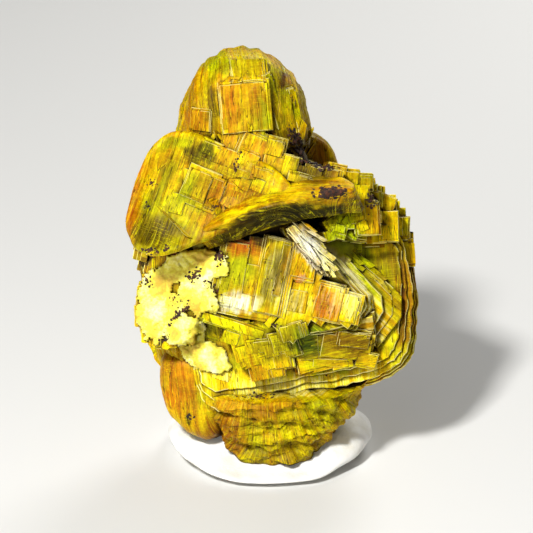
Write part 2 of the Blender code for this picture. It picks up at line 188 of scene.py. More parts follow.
REAR_MAIN_FRONT = [
    (-2.6, -3.4), (-3.4, -1.0), (-3.0, 2.3), (-1.2, 3.6), (1.5, 3.1), (3.1, 1.6), (3.3, -1.8), (1.4, -3.9),
]
REAR_MAIN_BACK = [
    (-5.0, -5.6), (-6.3, -1.2), (-5.0, 2.6), (-2.6, 4.4), (2.8, 5.4), (6.2, 2.8), (6.6, -2.0), (3.4, -6.2),
]
REAR_DISC = table(3.6, 3.6, (1.1, 1.0, 1.1, 1.0))
REAR_CROWN_FRONT = table(3.0, 3.4, (0.9, 0.4, 1.1, 0.5), 0.2)
REAR_CROWN_BACK = table(5.8, 5.0, (1.4, 1.5, 2.0, 1.2), 0.1)
REAR_UPPER = table(4.4, 3.6, (0.5, 1.3, 0.6, 1.0), 0.4)
REAR_RIGHT = table(3.2, 4.2, (0.6, 1.2, 0.5, 0.9), -0.3)
REAR_LOW = table(4.2, 3.2, (1.3, 0.6, 0.4, 1.1), -0.3)
REAR_STEP = table(2.9, 2.5, (0.3, 0.7, 0.3, 0.6), 0.3)
REAR_CHIP = table(2.4, 2.9, (0.7, 0.3, 0.8, 0.2), -0.2)
FLANK_LEFT = table(3.6, 4.4, (0.5, 1.4, 0.7, 1.2), 0.5)
FLANK_RIGHT = table(3.2, 4.6, (1.2, 0.5, 1.0, 0.6), 0.4)

# ---------------------------------------------------------------- books of cleavage sheets

# tear: how far apart the square notches in a sheet's edge are, in millimetres; soft: how often its corners
# are rounded; turn: the way the cleavage runs, and grain: the way its striations run, both in degrees; bow:
# how much its sheets are bent, into a bowl, or into a dome below 0; leaves: loose part-sheets on its face;
# flute: how deep its flutes are.
Book = namedtuple(
    "Book",
    "name place facing front back depth sheets turn tear soft bow grain leaves flute",
    defaults=(0.8, 0, 0.0, 0.0, 3, 1.0),
)
TO_FRONT = (0.0, -0.93, 0.37)
FRONT_BOOKS = [
    Book("crown", (-1.2, -2.0, 19.7), TO_FRONT, CROWN_FRONT, CROWN_BACK,
         depth=3.4, sheets=18, turn=5, tear=0, soft=2, bow=-0.03, grain=5, leaves=0, flute=1.4),
    Book("saucer", (-3.3, -3.4, 14.9), (-0.1, -0.92, 0.38), SAUCER, scaled(SAUCER, 0.86, 0.8),
         depth=4.4, sheets=16, turn=-19, tear=0, soft=2, bow=0.05, grain=-17, leaves=0),
    Book("stair", (0.7, -3.2, 16.2), TO_FRONT, STAIR, scaled(STAIR, 1.08, 1.05),
         depth=1.6, sheets=9, turn=-17, tear=0.6, grain=-15, leaves=4),
    Book("lip", (0.3, -4.2, 15.5), (-0.3, -0.3, 0.905), LIP_TOP, LIP_UNDER,
         depth=1.75, sheets=10, turn=8, tear=0, soft=2, bow=-0.05, grain=85, leaves=0),
    Book("centre_block", (-0.9, -3.9, 10.9), (-0.12, -0.95, 0.28),
         CENTRE_BLOCK, scaled(CENTRE_BLOCK, 1.1, 1.0),
         depth=2.6, sheets=14, turn=-8, tear=1.4, grain=-9, leaves=1),
    Book("pale_block", (-4.3, -3.0, 9.5), (-0.35, -0.9, 0.25), PALE_BLOCK, scaled(PALE_BLOCK, 1.05, 1.02),
         depth=2.6, sheets=12, turn=8, tear=0.4, soft=1, grain=5, leaves=2),
    Book("tan_face", (2.3, -4.2, 10.3), (0.05, -0.95, 0.3), TAN_FACE, scaled(TAN_FACE, 1.05, 1.05),
         depth=1.8, sheets=9, turn=-38, tear=1.2, grain=-14, leaves=1),
    Book("chevrons", (3.93, -3.94, 9.74), TO_FRONT, CHEVRON_FRONT, CHEVRON_BACK,
         depth=1.7, sheets=17, turn=-39, tear=0, grain=51, leaves=0, flute=0.4),
    Book("terraces", (2.68, -2.18, 9.02), TO_FRONT, TERRACE_FRONT, TERRACE_BACK,
         depth=2.2, sheets=11, turn=3, tear=0, soft=1, grain=5, leaves=0, flute=1.6),
    Book("shoulder", (4.9, -2.6, 14.3), (0.3, -0.88, 0.37), SHOULDER_FRONT, SHOULDER_BACK,
         depth=3.2, sheets=18, turn=-6, tear=0.6, grain=-5, leaves=2),
    Book("body", (0.9, -2.4, 8.0), (0.08, -0.97, 0.2), BODY_FRONT, BODY_BACK,
         depth=3.6, sheets=20, turn=6, tear=0.5, soft=1, grain=4, leaves=1, flute=1.3),
    Book("step_block", (0.2, -4.3, 7.4), (-0.05, -0.99, 0.05), STEP_BLOCK, scaled(STEP_BLOCK, 1.1, 1.1),
         depth=1.4, sheets=9, turn=15, tear=0.5, grain=15, leaves=2),
    Book("green_block", (3.4, -4.0, 7.3), (0.1, -0.99, -0.02), GREEN_BLOCK, scaled(GREEN_BLOCK, 1.1, 1.1),
         depth=1.6, sheets=10, turn=10, grain=102, leaves=2),
    Book("band", (1.4, -2.63, 4.98), (0.0, -0.98, 0.15), BAND, scaled(BAND, 1.03, 1.4),
         depth=2.6, sheets=14, turn=3, tear=0, soft=2, bow=-0.05, grain=2, flute=1.6),
    Book("white_fan", (2.3, -4.35, 12.85), (0.1, -0.87, 0.5), WHITE_FAN, scaled(WHITE_FAN, 1.25, 1.2),
         depth=1.4, sheets=10, turn=-52, tear=0.25, grain=38, leaves=0, flute=2.0),
    Book("foot", (0.55, -1.5, 0.62), (0.03, 0.04, -1.0), FOOT_UNDER, FOOT_TOP,
         depth=4.0, sheets=16, turn=12, tear=0, soft=2, leaves=0, flute=3.2),
    Book("amber_lobe", (-4.35, -2.95, 3.85), (-0.45, -0.88, 0.1),
         scaled(AMBER_LOBE, 1.12, 1.04), scaled(AMBER_LOBE, 1.2, 1.12),
         depth=2.6, sheets=10, turn=10, tear=0, soft=2, bow=-0.04, grain=10, leaves=0),
    Book("rear_disc", (2.2, 1.8, 14.6), (0.35, -0.9, 0.3),
         scaled(REAR_DISC, 0.9, 0.95), scaled(REAR_DISC, 1.1, 1.1),
         depth=1.6, sheets=7, turn=0, tear=0, soft=2, leaves=0),
]
REAR_BOOKS = [
    Book("rear_main", (0.9, 4.5, 9.8), (0.12, 0.97, -0.1), REAR_MAIN_FRONT, REAR_MAIN_BACK,
         depth=3.6, sheets=18, turn=12, tear=1.3, grain=12, leaves=5),
    Book("rear_crown", (-1.1, 2.4, 18.4), (0.1, 0.93, 0.35), REAR_CROWN_FRONT, REAR_CROWN_BACK,
         depth=2.4, sheets=13, turn=-6, tear=1.0, grain=-6, leaves=4),
    Book("rear_upper", (-2.6, 3.3, 14.3), (-0.25, 0.85, 0.45), REAR_UPPER, scaled(REAR_UPPER, 1.4, 1.4),
         depth=2.4, sheets=12, turn=20, tear=0.9, grain=20, leaves=5),
    Book("rear_right", (3.9, 3.4, 10.7), (0.55, 0.8, 0.1), REAR_RIGHT, scaled(REAR_RIGHT, 1.5, 1.35),
         depth=2.8, sheets=13, turn=-14, tear=1.1, grain=-14, leaves=4),
    Book("rear_low", (-2.0, 4.0, 5.6), (-0.3, 0.85, -0.3), REAR_LOW, scaled(REAR_LOW, 1.5, 1.5),
         depth=2.6, sheets=12, turn=9, tear=0.9, grain=99, leaves=4),
    Book("rear_step", (2.4, 4.8, 7.0), (0.1, 0.95, 0.2), REAR_STEP, scaled(REAR_STEP, 1.4, 1.4),
         depth=1.4, sheets=8, turn=25, tear=0.7, grain=25),
    Book("rear_ridge", (2.0, 3.9, 12.4), (-0.15, 0.9, 0.35), REAR_STEP, scaled(REAR_STEP, 1.4, 1.4),
         depth=1.8, sheets=10, turn=-22, tear=0.7, grain=-22),
    Book("rear_chip", (-3.6, 4.0, 9.9), (-0.4, 0.9, -0.2), REAR_CHIP, scaled(REAR_CHIP, 1.3, 1.5),
         depth=1.6, sheets=9, turn=16, tear=0.7, grain=16),
    Book("rear_foot", (2.1, 3.3, 4.0), (0.2, 0.85, -0.45), REAR_CHIP, scaled(REAR_CHIP, 2.0, 1.5),
         depth=1.8, sheets=9, turn=-12, grain=78),
    Book("flank_left", (-6.2, 1.6, 11.4), (-0.93, 0.25, 0.15), FLANK_LEFT, scaled(FLANK_LEFT, 1.5, 1.35),
         depth=2.6, sheets=13, turn=14, tear=1.1, grain=14, leaves=4),
    Book("flank_chip", (-6.1, -0.2, 8.1), (-0.95, -0.2, -0.1), REAR_CHIP, scaled(REAR_CHIP, 1.5, 1.4),
         depth=1.6, sheets=9, turn=-9, tear=0.7, grain=-9),
    Book("flank_low", (-4.9, 1.9, 5.2), (-0.85, 0.35, -0.35), REAR_STEP, scaled(REAR_STEP, 1.5, 1.4),
         depth=1.8, sheets=9, turn=18, grain=18),
    Book("flank_right", (7.3, 1.6, 9.2), (0.96, 0.18, 0.1), FLANK_RIGHT, scaled(FLANK_RIGHT, 1.6, 1.5),
         depth=2.6, sheets=18, turn=-11, tear=0, soft=1, grain=-11, leaves=2, flute=1.5),
    Book("flank_heel", (6.0, 0.4, 5.0), (0.85, -0.1, -0.4), REAR_STEP, scaled(REAR_STEP, 1.5, 1.4),
         depth=1.8, sheets=9, turn=7, grain=97),
]

# A square part-sheet on a book's face. across and height: where its middle is in the front view, height
# along UP_IN_VIEW; width and tall: its size; turn: in degrees; rise: how far it stands out; thick: its
# lowest sheet.
Plate = namedtuple("Plate", "book across height width tall turn rise thick", defaults=(0.8,))
PLATES = [
    Plate("crown", -1.10, 17.00, 2.20, 2.35, 5, 0.15),
    Plate("crown", -0.93, 18.80, 1.50, 1.25, 4, 0.16),
    Plate("crown", -1.52, 18.43, 0.45, 0.15, 3, 0.06),
    Plate("crown", -3.25, 16.40, 1.15, 1.00, 6, 0.05),
    Plate("crown", 0.38, 17.35, 0.60, 2.80, 3, 0.03),
    Plate("crown", 1.48, 16.95, 0.45, 2.20, -3, 0.04),
    Plate("saucer", -1.52, 13.50, 5.60, 1.10, -14, 0.05),
    Plate("saucer", -2.23, 13.05, 4.20, 0.80, -15, 0.04),
    Plate("saucer", -3.12, 13.05, 2.00, 1.95, -19, 0.11),
    Plate("saucer", -3.38, 13.25, 1.20, 1.30, -19, 0.08),
    Plate("saucer", -2.52, 12.75, 0.65, 1.50, -18, 0.05),
    Plate("saucer", -4.38, 12.30, 0.70, 1.00, -17, 0.06),
    Plate("saucer", -2.42, 12.10, 0.35, 0.85, 20, 0.05),
    Plate("saucer", -2.12, 12.20, 0.15, 0.80, 18, 0.06),
    Plate("saucer", -0.42, 13.20, 0.65, 0.65, -16, 0.04),
    Plate("saucer", -1.07, 13.25, 0.55, 0.60, -16, 0.03),
    Plate("saucer", -1.73, 12.35, 1.10, 0.60, -20, 0.03),
    Plate("saucer", -1.93, 14.55, 1.30, 0.85, -18, 0.05),
    Plate("saucer", -2.73, 14.95, 0.90, 0.60, -22, 0.04),
    Plate("stair", -1.77, 15.35, 0.70, 0.95, -8, 0.07),
    Plate("stair", -0.68, 14.85, 1.40, 1.60, -24, 0.10),
    Plate("stair", -0.88, 14.45, 0.95, 0.70, -22, 0.05),
    Plate("stair", 0.47, 15.00, 0.75, 0.75, -15, 0.08),
    Plate("stair", 0.42, 14.05, 1.30, 1.10, -15, 0.06),
    Plate("stair", 1.12, 13.95, 0.75, 1.35, -15, 0.08),
    Plate("stair", 1.82, 14.25, 0.70, 0.85, -15, 0.07),
    Plate("stair", 2.38, 13.70, 0.65, 0.70, -15, 0.08),
    Plate("stair", 3.17, 13.65, 0.65, 0.60, -12, 0.07),
    Plate("stair", 1.68, 13.45, 1.30, 0.40, -15, 0.04),
    Plate("stair", -0.17, 13.70, 0.90, 0.45, -16, 0.05),
    Plate("centre_block", 0.33, 8.75, 1.25, 3.70, -10, 0.26),
    Plate("centre_block", 0.75, 9.05, 0.40, 2.60, -12, 0.08),
    Plate("centre_block", -1.43, 7.55, 2.00, 0.80, -12, 0.03),
    Plate("centre_block", -1.60, 9.05, 1.15, 2.70, -8, 0.12),
    Plate("tan_face", 1.68, 8.75, 0.55, 0.65, -8, 0.05),
    Plate("tan_face", 1.82, 9.45, 1.10, 1.50, -12, 0.04),
    Plate("tan_face", 3.08, 7.40, 1.25, 1.65, -14, 0.06),
    Plate("tan_face", 4.03, 7.15, 0.95, 1.35, -16, 0.06),
    Plate("tan_face", 1.27, 7.55, 1.50, 1.10, -12, 0.03),
    Plate("shoulder", 3.58, 13.75, 0.65, 0.60, -18, 0.08),
    Plate("shoulder", 4.22, 13.60, 0.70, 0.60, -12, 0.06),
    Plate("shoulder", 4.88, 13.35, 0.55, 0.55, -8, 0.08),
    Plate("shoulder", 3.98, 13.05, 0.95, 0.55, -10, 0.05),
    Plate("shoulder", 4.72, 12.90, 0.80, 0.70, -6, 0.08),
    Plate("shoulder", 5.38, 12.65, 0.50, 0.60, -10, 0.05),
    Plate("shoulder", 4.42, 12.15, 0.90, 1.35, -3, 0.10),
    Plate("shoulder", 4.42, 12.15, 0.55, 0.85, -3, 0.05),
    Plate("shoulder", 4.97, 11.55, 1.15, 1.45, -3, 0.06),
    Plate("shoulder", 6.08, 11.30, 1.05, 1.40, -6, 0.08),
    Plate("shoulder", 6.90, 11.25, 0.55, 0.95, -9, 0.05),
    Plate("shoulder", 6.67, 9.90, 1.80, 1.15, -3, 0.06),
    Plate("shoulder", 3.38, 10.95, 1.20, 0.65, 10, 0.04),
    Plate("shoulder", 5.97, 12.40, 1.00, 0.80, -30, 0.06),
    Plate("step_block", 1.18, 5.95, 0.95, 0.80, 16, 0.09),
    Plate("step_block", 0.72, 5.45, 0.90, 0.95, 14, 0.12),
    Plate("step_block", 1.23, 5.15, 0.75, 0.70, 20, 0.10),
    Plate("step_block", 0.28, 5.05, 0.80, 0.70, 18, 0.08),
    Plate("step_block", 0.78, 4.55, 0.85, 0.75, 12, 0.10),
    Plate("step_block", 0.12, 4.45, 0.80, 0.75, 20, 0.07),
    Plate("step_block", -0.23, 3.95, 0.70, 0.80, 14, 0.06),
    Plate("step_block", 0.47, 4.00, 0.70, 0.60, 8, 0.06),
    Plate("step_block", -1.48, 6.55, 3.60, 0.35, -15, 0.12),
    Plate("step_block", -1.68, 6.30, 3.20, 0.45, -18, 0.05),
    Plate("step_block", -2.23, 5.85, 1.70, 0.85, -16, 0.07),
    Plate("step_block", -2.77, 6.25, 1.20, 1.00, -18, 0.05),
    Plate("step_block", -1.73, 5.65, 0.70, 0.65, -17, 0.05),
    Plate("step_block", -0.42, 5.20, 1.30, 0.60, 8, 0.04),
    Plate("green_block", 2.08, 5.25, 1.00, 1.50, 3, 0.03),
    Plate("green_block", 3.98, 5.20, 2.50, 1.25, -9, 0.06),
    Plate("green_block", 4.38, 5.55, 1.50, 0.75, -10, 0.08),
    Plate("green_block", 5.03, 4.55, 1.00, 0.70, -14, 0.05),
    Plate("green_block", 3.23, 4.40, 1.80, 0.45, -4, 0.03),
    Plate("terraces", -2.23, 3.85, 0.90, 0.70, -18, 0.03),
    Plate("terraces", -3.02, 4.75, 0.80, 0.70, -25, 0.03),
    Plate("shoulder", 3.23, 11.45, 0.50, 0.35, 30, 0.06),
    Plate("shoulder", 3.62, 11.10, 0.55, 0.40, -20, 0.08),
    Plate("shoulder", 3.17, 10.75, 0.40, 0.50, 10, 0.05),
    Plate("shoulder", 3.98, 11.45, 0.40, 0.45, 45, 0.07),
    Plate("shoulder", 4.28, 10.85, 0.60, 0.35, -35, 0.06),
    Plate("shoulder", 3.73, 10.40, 0.55, 0.40, 25, 0.06),
    Plate("shoulder", 4.53, 10.25, 0.50, 0.40, -10, 0.08),
    Plate("shoulder", 4.78, 11.25, 0.45, 0.50, 15, 0.05),
    Plate("shoulder", 4.12, 10.00, 0.60, 0.30, -38, 0.05),
]

# A book that has grown or worn into one rounded form. edge: how round the rim of its face is; dome: 0 for a
# straight slope behind the face, 1 for a dome; rim: how far the border of the face stands up; flute: how
# deep the grooves down its wall are; layer: how far the edges of its sheets stand out of the wall; rib: how
# high the ribs along its grain are, each with how far apart they are; soft: how often the corners of its
# outline are rounded; cap_step and wall_step: how fine its face and its wall are; crumple: how deep the
# folds of its wall are. All but dome and soft are in millimetres.
Form = namedtuple(
    "Form",
    "edge dome rim flute flutes_apart layer layers_apart rib ribs_apart soft cap_step wall_step crumple",
    defaults=(0.02,),
)
FORMS = {
    "crown": Form(
        edge=0.25, dome=0.9, rim=0.0, flute=0.08, flutes_apart=1.0, layer=0.02, layers_apart=0.35,
        rib=0.13, ribs_apart=0.6, soft=2, cap_step=0.09, wall_step=0.09,
    ),
    "saucer": Form(
        edge=0.4, dome=0.3, rim=0.22, flute=0.06, flutes_apart=1.0, layer=0.02, layers_apart=0.3,
        rib=0.04, ribs_apart=0.5, soft=3, cap_step=0.10, wall_step=0.15,
    ),
    "lip": Form(
        edge=0.12, dome=0.2, rim=0.0, flute=0.07, flutes_apart=0.7, layer=0.03, layers_apart=0.2,
        rib=0.02, ribs_apart=0.5, soft=2, cap_step=0.12, wall_step=0.07, crumple=0.05,
    ),
    "body": Form(
        edge=0.3, dome=0.5, rim=0.0, flute=0.14, flutes_apart=0.7, layer=0.11, layers_apart=0.3,
        rib=0.05, ribs_apart=0.6, soft=2, cap_step=0.3, wall_step=0.11,
    ),
    "band": Form(
        edge=0.2, dome=0.5, rim=0.0, flute=0.09, flutes_apart=0.3, layer=0.13, layers_apart=0.27,
        rib=0.06, ribs_apart=0.3, soft=2, cap_step=0.12, wall_step=0.09, crumple=0.1,
    ),
    "foot": Form(
        edge=0.5, dome=0.3, rim=0.0, flute=0.2, flutes_apart=0.6, layer=0.11, layers_apart=0.5,
        rib=0.0, ribs_apart=0.5, soft=2, cap_step=0.4, wall_step=0.075, crumple=0.42,
    ),
    "amber_lobe": Form(
        edge=0.9, dome=0.6, rim=0.0, flute=0.08, flutes_apart=0.9, layer=0.01, layers_apart=0.4,
        rib=0.07, ribs_apart=0.8, soft=3, cap_step=0.1, wall_step=0.15,
    ),
    "rear_disc": Form(
        edge=0.4, dome=0.8, rim=0.0, flute=0.02, flutes_apart=0.8, layer=0.01, layers_apart=0.3,
        rib=0.01, ribs_apart=0.8, soft=2, cap_step=0.12, wall_step=0.15,
    ),
}

STACK_OVERLAP, PLATE_OVERLAP = 1.6, 1.5  # how thick a sheet is for its spacing: it runs into its neighbours
SKIN = 0.06  # how far below the solid's face a book's top sheet starts, which its leaves fill again
CHAMFER = 0.045  # round the front of each sheet, in millimetres
GROWTHS = (0.04, 0.1, 0.3, 1.0, 2.4)  # how unevenly one sheet reaches past the next
NEW_TEAR = 0.3  # the chance that a sheet tears along a line of its own
SHORTEST_RUN = 0.04  # a notch that is shallower than this is left out
SWELL, FLUTE, RIPPLE = 0.10, 0.06, 0.03  # waves in a sheet's edge: long, as wide as a flute, and its own
EDGE_STEP = 0.2  # how fine the edge of an untorn sheet is cut up, in millimetres


def axes_of(facing):
    n = Vector(facing).normalized()
    if abs(n.z) > 0.8:
        u = (Vector((1, 0, 0)) - n * n.x).normalized()
        return u, n.cross(u), n
    v = (Vector((0, 0, 1)) - n * n.z).normalized()
    return v.cross(n), v, n


def between(front, back, share):
    return [Vector(f).lerp(Vector(b), share) for f, b in zip(front, back)]


def sides(points):
    return zip(points, points[1:] + points[:1])


def softened(points):
    """Each corner cut off once, so that repeats round the outline."""
    return [start.lerp(end, share) for start, end in sides(points) for share in (0.25, 0.75)]


def resampled(points, spacing):
    cut = []
    for start, end in sides(points):
        count = max(1, round((end - start).length / spacing))
        cut += [start.lerp(end, k / count) for k in range(count)]
    return cut


def parts(total, count, rng):
    cuts = [rng.uniform(0.4, 1.6) for _ in range(count)]
    return [total * cut / sum(cuts) for cut in cuts]


def torn(outline, turn, length, rng):
    """The outline with each side made of runs along the two cleavage directions, as a torn mica edge is."""
    along, across = Vector((math.cos(turn), math.sin(turn))), Vector((-math.sin(turn), math.cos(turn)))
    points = []
    for start, end in sides(outline):
        side = end - start
        count = max(1, round(side.length / length))
        here = start.copy()
        for a, b in zip(parts(side.dot(along), count, rng), parts(side.dot(across), count, rng)):
            runs = [along * a, across * b]
            if rng.random() < 0.5:
                runs.reverse()
            points.append(here.copy())
            if min(abs(a), abs(b)) > SHORTEST_RUN:
                points.append(here + runs[0])
            here += runs[0] + runs[1]
    return points


def unevenness(place, key):
    """A smooth field between -1 and 1, another one for each key."""
    return noise.noise(place + Vector((0, 0, key)))


def waved(points, key, layer, flute):
    """Long waves and flutes that run through the whole stack, and short ones of each sheet's own."""
    moved = []
    for point in points:
        at = Vector((point.x, point.y, 0))
        push = SWELL * unevenness(at * 0.7, key)
        push += FLUTE * flute * unevenness(at * 2.2, key)
        push += RIPPLE * unevenness(at * 3.5, key + layer * 0.7)
        moved.append(point * (1 + push / max(point.length, 1.0)))
    return moved


def edge_of(book, share, batch, layer):
    """The outline of one sheet, share of the way from the front of its book to the back."""
    points = between(book.front, book.back, share)
    if book.tear:
        rng = random.Random(f"{SEED} {book.name} {batch}")
        points = torn(points, math.radians(book.turn), book.tear, rng)
    for _ in range(book.soft):
        points = softened(points)
    if not book.tear:
        points = resampled(points, EDGE_STEP)
    return waved(points, len(book.name) + book.depth, layer, book.flute)


def nothing_selected():
    if bpy.context.object and bpy.context.object.mode != "OBJECT":
        bpy.ops.object.mode_set(mode="OBJECT")
    bpy.ops.object.select_all(action="DESELECT")


def only(obj):
    nothing_selected()
    bpy.context.view_layer.objects.active = obj
    obj.select_set(True)


def prisms(name, outlines, thick, chamfer=CHAMFER):
    """One object of closed flat slabs, one for each (outline, top), with a chamfer round the front of
    each."""
    mesh = bpy.data.meshes.new(name)
    corners, faces = [], []
    for points, top in outlines:
        faces.append(range(len(corners), len(corners) + len(points)))
        corners += [(p.x * MM, p.y * MM, (top - chamfer) * MM) for p in points]
    mesh.from_pydata(corners, [], faces)
    for face in mesh.polygons:
        if face.normal.z < 0:
            face.flip()
    obj = bpy.data.objects.new(name, mesh)
    bpy.context.scene.collection.objects.link(obj)
    only(obj)
    bpy.ops.object.mode_set(mode="EDIT")
    bpy.ops.mesh.select_mode(type="FACE")
    bpy.ops.mesh.select_all(action="SELECT")
    bpy.ops.mesh.extrude_region_move(TRANSFORM_OT_translate={"value": (0, 0, -thick * MM)})
    bpy.ops.mesh.select_all(action="SELECT")
    bpy.ops.mesh.normals_make_consistent(inside=False)
    bpy.ops.object.mode_set(mode="OBJECT")
    return obj


def trimmed(obj, cuts):
    """Cuts the slab along straight cleavage lines, each a (point, direction out of what stays), and closes
    it again."""
    only(obj)
    bpy.ops.object.mode_set(mode="EDIT")
    for point, out in cuts:
        bpy.ops.mesh.select_all(action="SELECT")
        bpy.ops.mesh.bisect(
            plane_co=(point.x * MM, point.y * MM, 0),
            plane_no=(out.x, out.y, 0),
            use_fill=True,
            clear_outer=True,
        )
    bpy.ops.object.mode_set(mode="OBJECT")


def closed(obj):
    """Whether the mesh is there and every edge of it has two faces."""
    used = [0] * len(obj.data.edges)
    for loop in obj.data.loops:
        used[loop.edge_index] += 1
    return bool(used) and all(count == 2 for count in used)


def chamfered(obj, chamfer):
    for face in obj.data.polygons:
        face.select = face.normal.z > 0.9
    only(obj)
    bpy.ops.object.mode_set(mode="EDIT")
    bpy.ops.mesh.inset(thickness=chamfer * MM, depth=chamfer * MM, use_individual=True, use_even_offset=False)
    bpy.ops.object.mode_set(mode="OBJECT")


BOW_STEP = 0.75  # how fine a bowed sheet is cut up before it is bent, in millimetres


def bowed(obj, bow):
    """Bends the sheets of a book to a shallow bowl, or to a dome where bow is negative."""
    only(obj)
    bpy.ops.object.mode_set(mode="EDIT")
    for normal in (Vector((1, 0, 0)), Vector((0, 1, 0))):
        for step in range(-8, 9):
            bpy.ops.mesh.select_all(action="SELECT")
            bpy.ops.mesh.bisect(plane_co=normal * (step * BOW_STEP * MM), plane_no=normal)
    bpy.ops.object.mode_set(mode="OBJECT")
    for vertex in obj.data.vertices:
        vertex.co.z += bow * vertex.co.xy.length_squared / MM


RIM_OF_CHAMFER, RIM_OF_SIDE = 1.0, 0.5
RIM_BREAKS = -0.08  # where the noise along an edge is below this, the edge catches no light


def marked(obj, book, rng):
    """Writes what the crystal material reads: a UV map in millimetres along the grain, tints and rims."""
    grain = Matrix.Rotation(-math.radians(book.grain), 2)
    uv = obj.data.uv_layers.new(name="grain")
    for loop in obj.data.loops:
        uv.data[loop.index].uv = grain @ (obj.data.vertices[loop.vertex_index].co.xy / MM)
    tint = obj.data.attributes.new("tint", "FLOAT", "FACE")
    rim = obj.data.attributes.new("rim", "FLOAT", "FACE")
    tints = {}
    for face in obj.data.polygons:
        flatness = abs(face.normal.z)
        layer = round(face.center.z / MM / book.depth * book.sheets)
        tint.data[face.index].value = tints.setdefault(layer, rng.random())
        if flatness < 0.2:
            rim.data[face.index].value = RIM_OF_SIDE
        elif flatness < 0.9 and face.normal.z > 0 and unevenness(face.center / MM * 1.3, layer) > RIM_BREAKS:
            rim.data[face.index].value = RIM_OF_CHAMFER


def around(front, back, count, soft):
    """That many points evenly round two outlines that match, once their corners are rounded."""
    rings = [Vector((*f, *b)) for f, b in zip(front, back)]
    for _ in range(soft):
        rings = softened(rings)
    lengths = [(b - a).length for a, b in sides(rings)]
    total, walked, k, spots = sum(lengths), 0.0, 0, []
    for index in range(count):
        goal = total * index / count
        while walked + lengths[k] < goal:
            walked += lengths[k]
            k += 1
        spots.append(rings[k].lerp(rings[(k + 1) % len(rings)], (goal - walked) / lengths[k]))
    return [s.xy for s in spots], [Vector((s.z, s.w)) for s in spots]


def profile_of(book, form, reach):
    """From the middle of the face, over its rim and down the wall to the middle of the back: share of the
    radius, depth, and how far the outline has gone over to the back one."""
    flat, wall = reach - form.edge, book.depth - form.edge
    cap = max(4, round(flat / form.cap_step))
    steps = [(flat * k / cap / reach, 0.0, 0.0) for k in range(cap)]
    turns = max(3, round(form.edge * 1.6 / form.wall_step))
    for k in range(turns):
        angle = math.pi / 2 * k / turns
        steps.append(((flat + form.edge * math.sin(angle)) / reach, form.edge * (1 - math.cos(angle)), 0.0))
    rows = round(wall * 1.25 / form.wall_step)
    for k in range(rows + 1):
        q = k / rows
        depth = form.edge + wall * (q + form.dome * (1 - math.cos(q * math.pi / 2) - q))
        steps.append((1.0, depth, q + form.dome * (math.sin(q * math.pi / 2) - q)))
    return steps + [(share, book.depth, 1.0) for share in (0.7, 0.35, 0.0)]


def stepped(value, count):
    """A smooth height cut into flat treads, as cleavage leaves it."""
    return 0.75 * round(value * count) / count + 0.25 * value


def relief_at(form, key, rim_place, down, grain_place):
    """How far the surface stands out there, and which sheet and which tread of a rib it belongs to."""
    grooves = unevenness(Vector((*rim_place, 0)) / form.flutes_apart, key + down * 0.2)
    which, edges, crumple = 0, 0.0, 0.0
    if down > 0:
        at = Vector((*rim_place, 0))
        sheet = down / form.layers_apart + 1.1 * unevenness(at * 0.5, key + down * 0.3)
        which = math.floor(sheet)
        reach = noise.cell(Vector((which + 0.5, key, 0.5)))
        edges = reach * (0.6 + unevenness(at * 0.9, key + which)) + 0.6 * (sheet - which)
        folds = stepped(unevenness(Vector((*rim_place, down * 1.7)) * 0.9, key), 7)
        crumple = folds + 0.35 * noise.noise(Vector((*rim_place, down * 1.4)) * 2.4)
    at = Vector((grain_place.x, grain_place.y * 0.13, 0)) / form.ribs_apart
    ribs = stepped(unevenness(at, key + 7) + 0.4 * unevenness(at * 2.7, key + 9), 5)
    fine = noise.noise(Vector((*rim_place, down)) * 5.0)
    out = form.flute * grooves + form.layer * edges + form.crumple * crumple + form.rib * ribs + 0.012 * fine
    return out, (which, round(ribs * 7))


def drawn_out(obj, book, form, steps, count):
    """Draws the globe out to the book's outlines. For each point: its place in the face and how far down
    the wall it is, and that place with the wall rolled out flat, along the grain."""
    front, back = around(book.front, book.back, count, form.soft)
    middles = [sum(ring, Vector((0, 0))) / count for ring in (front, back)]
    grain = Matrix.Rotation(-math.radians(book.grain), 2)
    at, unrolled = [], []
    for vertex in obj.data.vertices:
        x, y, z = vertex.co
        share, depth, over = steps[round(math.acos(max(-1.0, min(1.0, z))) / math.pi * (len(steps) - 1))]
        spot = round((math.atan2(y, x) / math.tau) * count) % count
        middle = middles[0].lerp(middles[1], over)
        rim_place = front[spot].lerp(back[spot], over)
        place = middle + (rim_place - middle) * share
        first = front[spot] - middles[0]
        down = 0.0
        if share == 1.0:
            down = math.hypot((rim_place - middle).length - first.length, max(depth - form.edge, 0.0))
        # The border of a dished face stands up on the left and turns down on the far right.
        border = min(1.0, max(0.0, (share - 0.62) / 0.3)) ** 2
        lift = form.rim * border * min(1.0, max(-1.6, 0.2 - place.x / 2.5))
        vertex.co = Vector((place.x, place.y, lift - depth + book.bow * place.length_squared)) * MM
        at.append((place, down))
        unrolled.append(grain @ (place + first.normalized() * down))
    obj.data.update()
    return at, unrolled


def marked_form(obj, key, unrolled, cells):
    """Writes the same UV map and tints on a form as on a sheet; its rims are rounded and catch no light."""
    for layer in list(obj.data.uv_layers):
        obj.data.uv_layers.remove(layer)
    uv = obj.data.uv_layers.new(name="grain")
    for loop in obj.data.loops:
        uv.data[loop.index].uv = unrolled[loop.vertex_index]
    tint = obj.data.attributes.new("tint", "FLOAT", "FACE")
    obj.data.attributes.new("rim", "FLOAT", "FACE")
    for face in obj.data.polygons:
        sheet, tread = cells[face.vertices[0]]
        of_sheet = noise.cell(Vector((sheet + 0.5, 0.5, key)))
        of_tread = noise.cell(Vector((0.5, tread + 0.5, key)))
        tint.data[face.index].value = 0.5 + 0.3 * of_sheet + 0.2 * of_tread


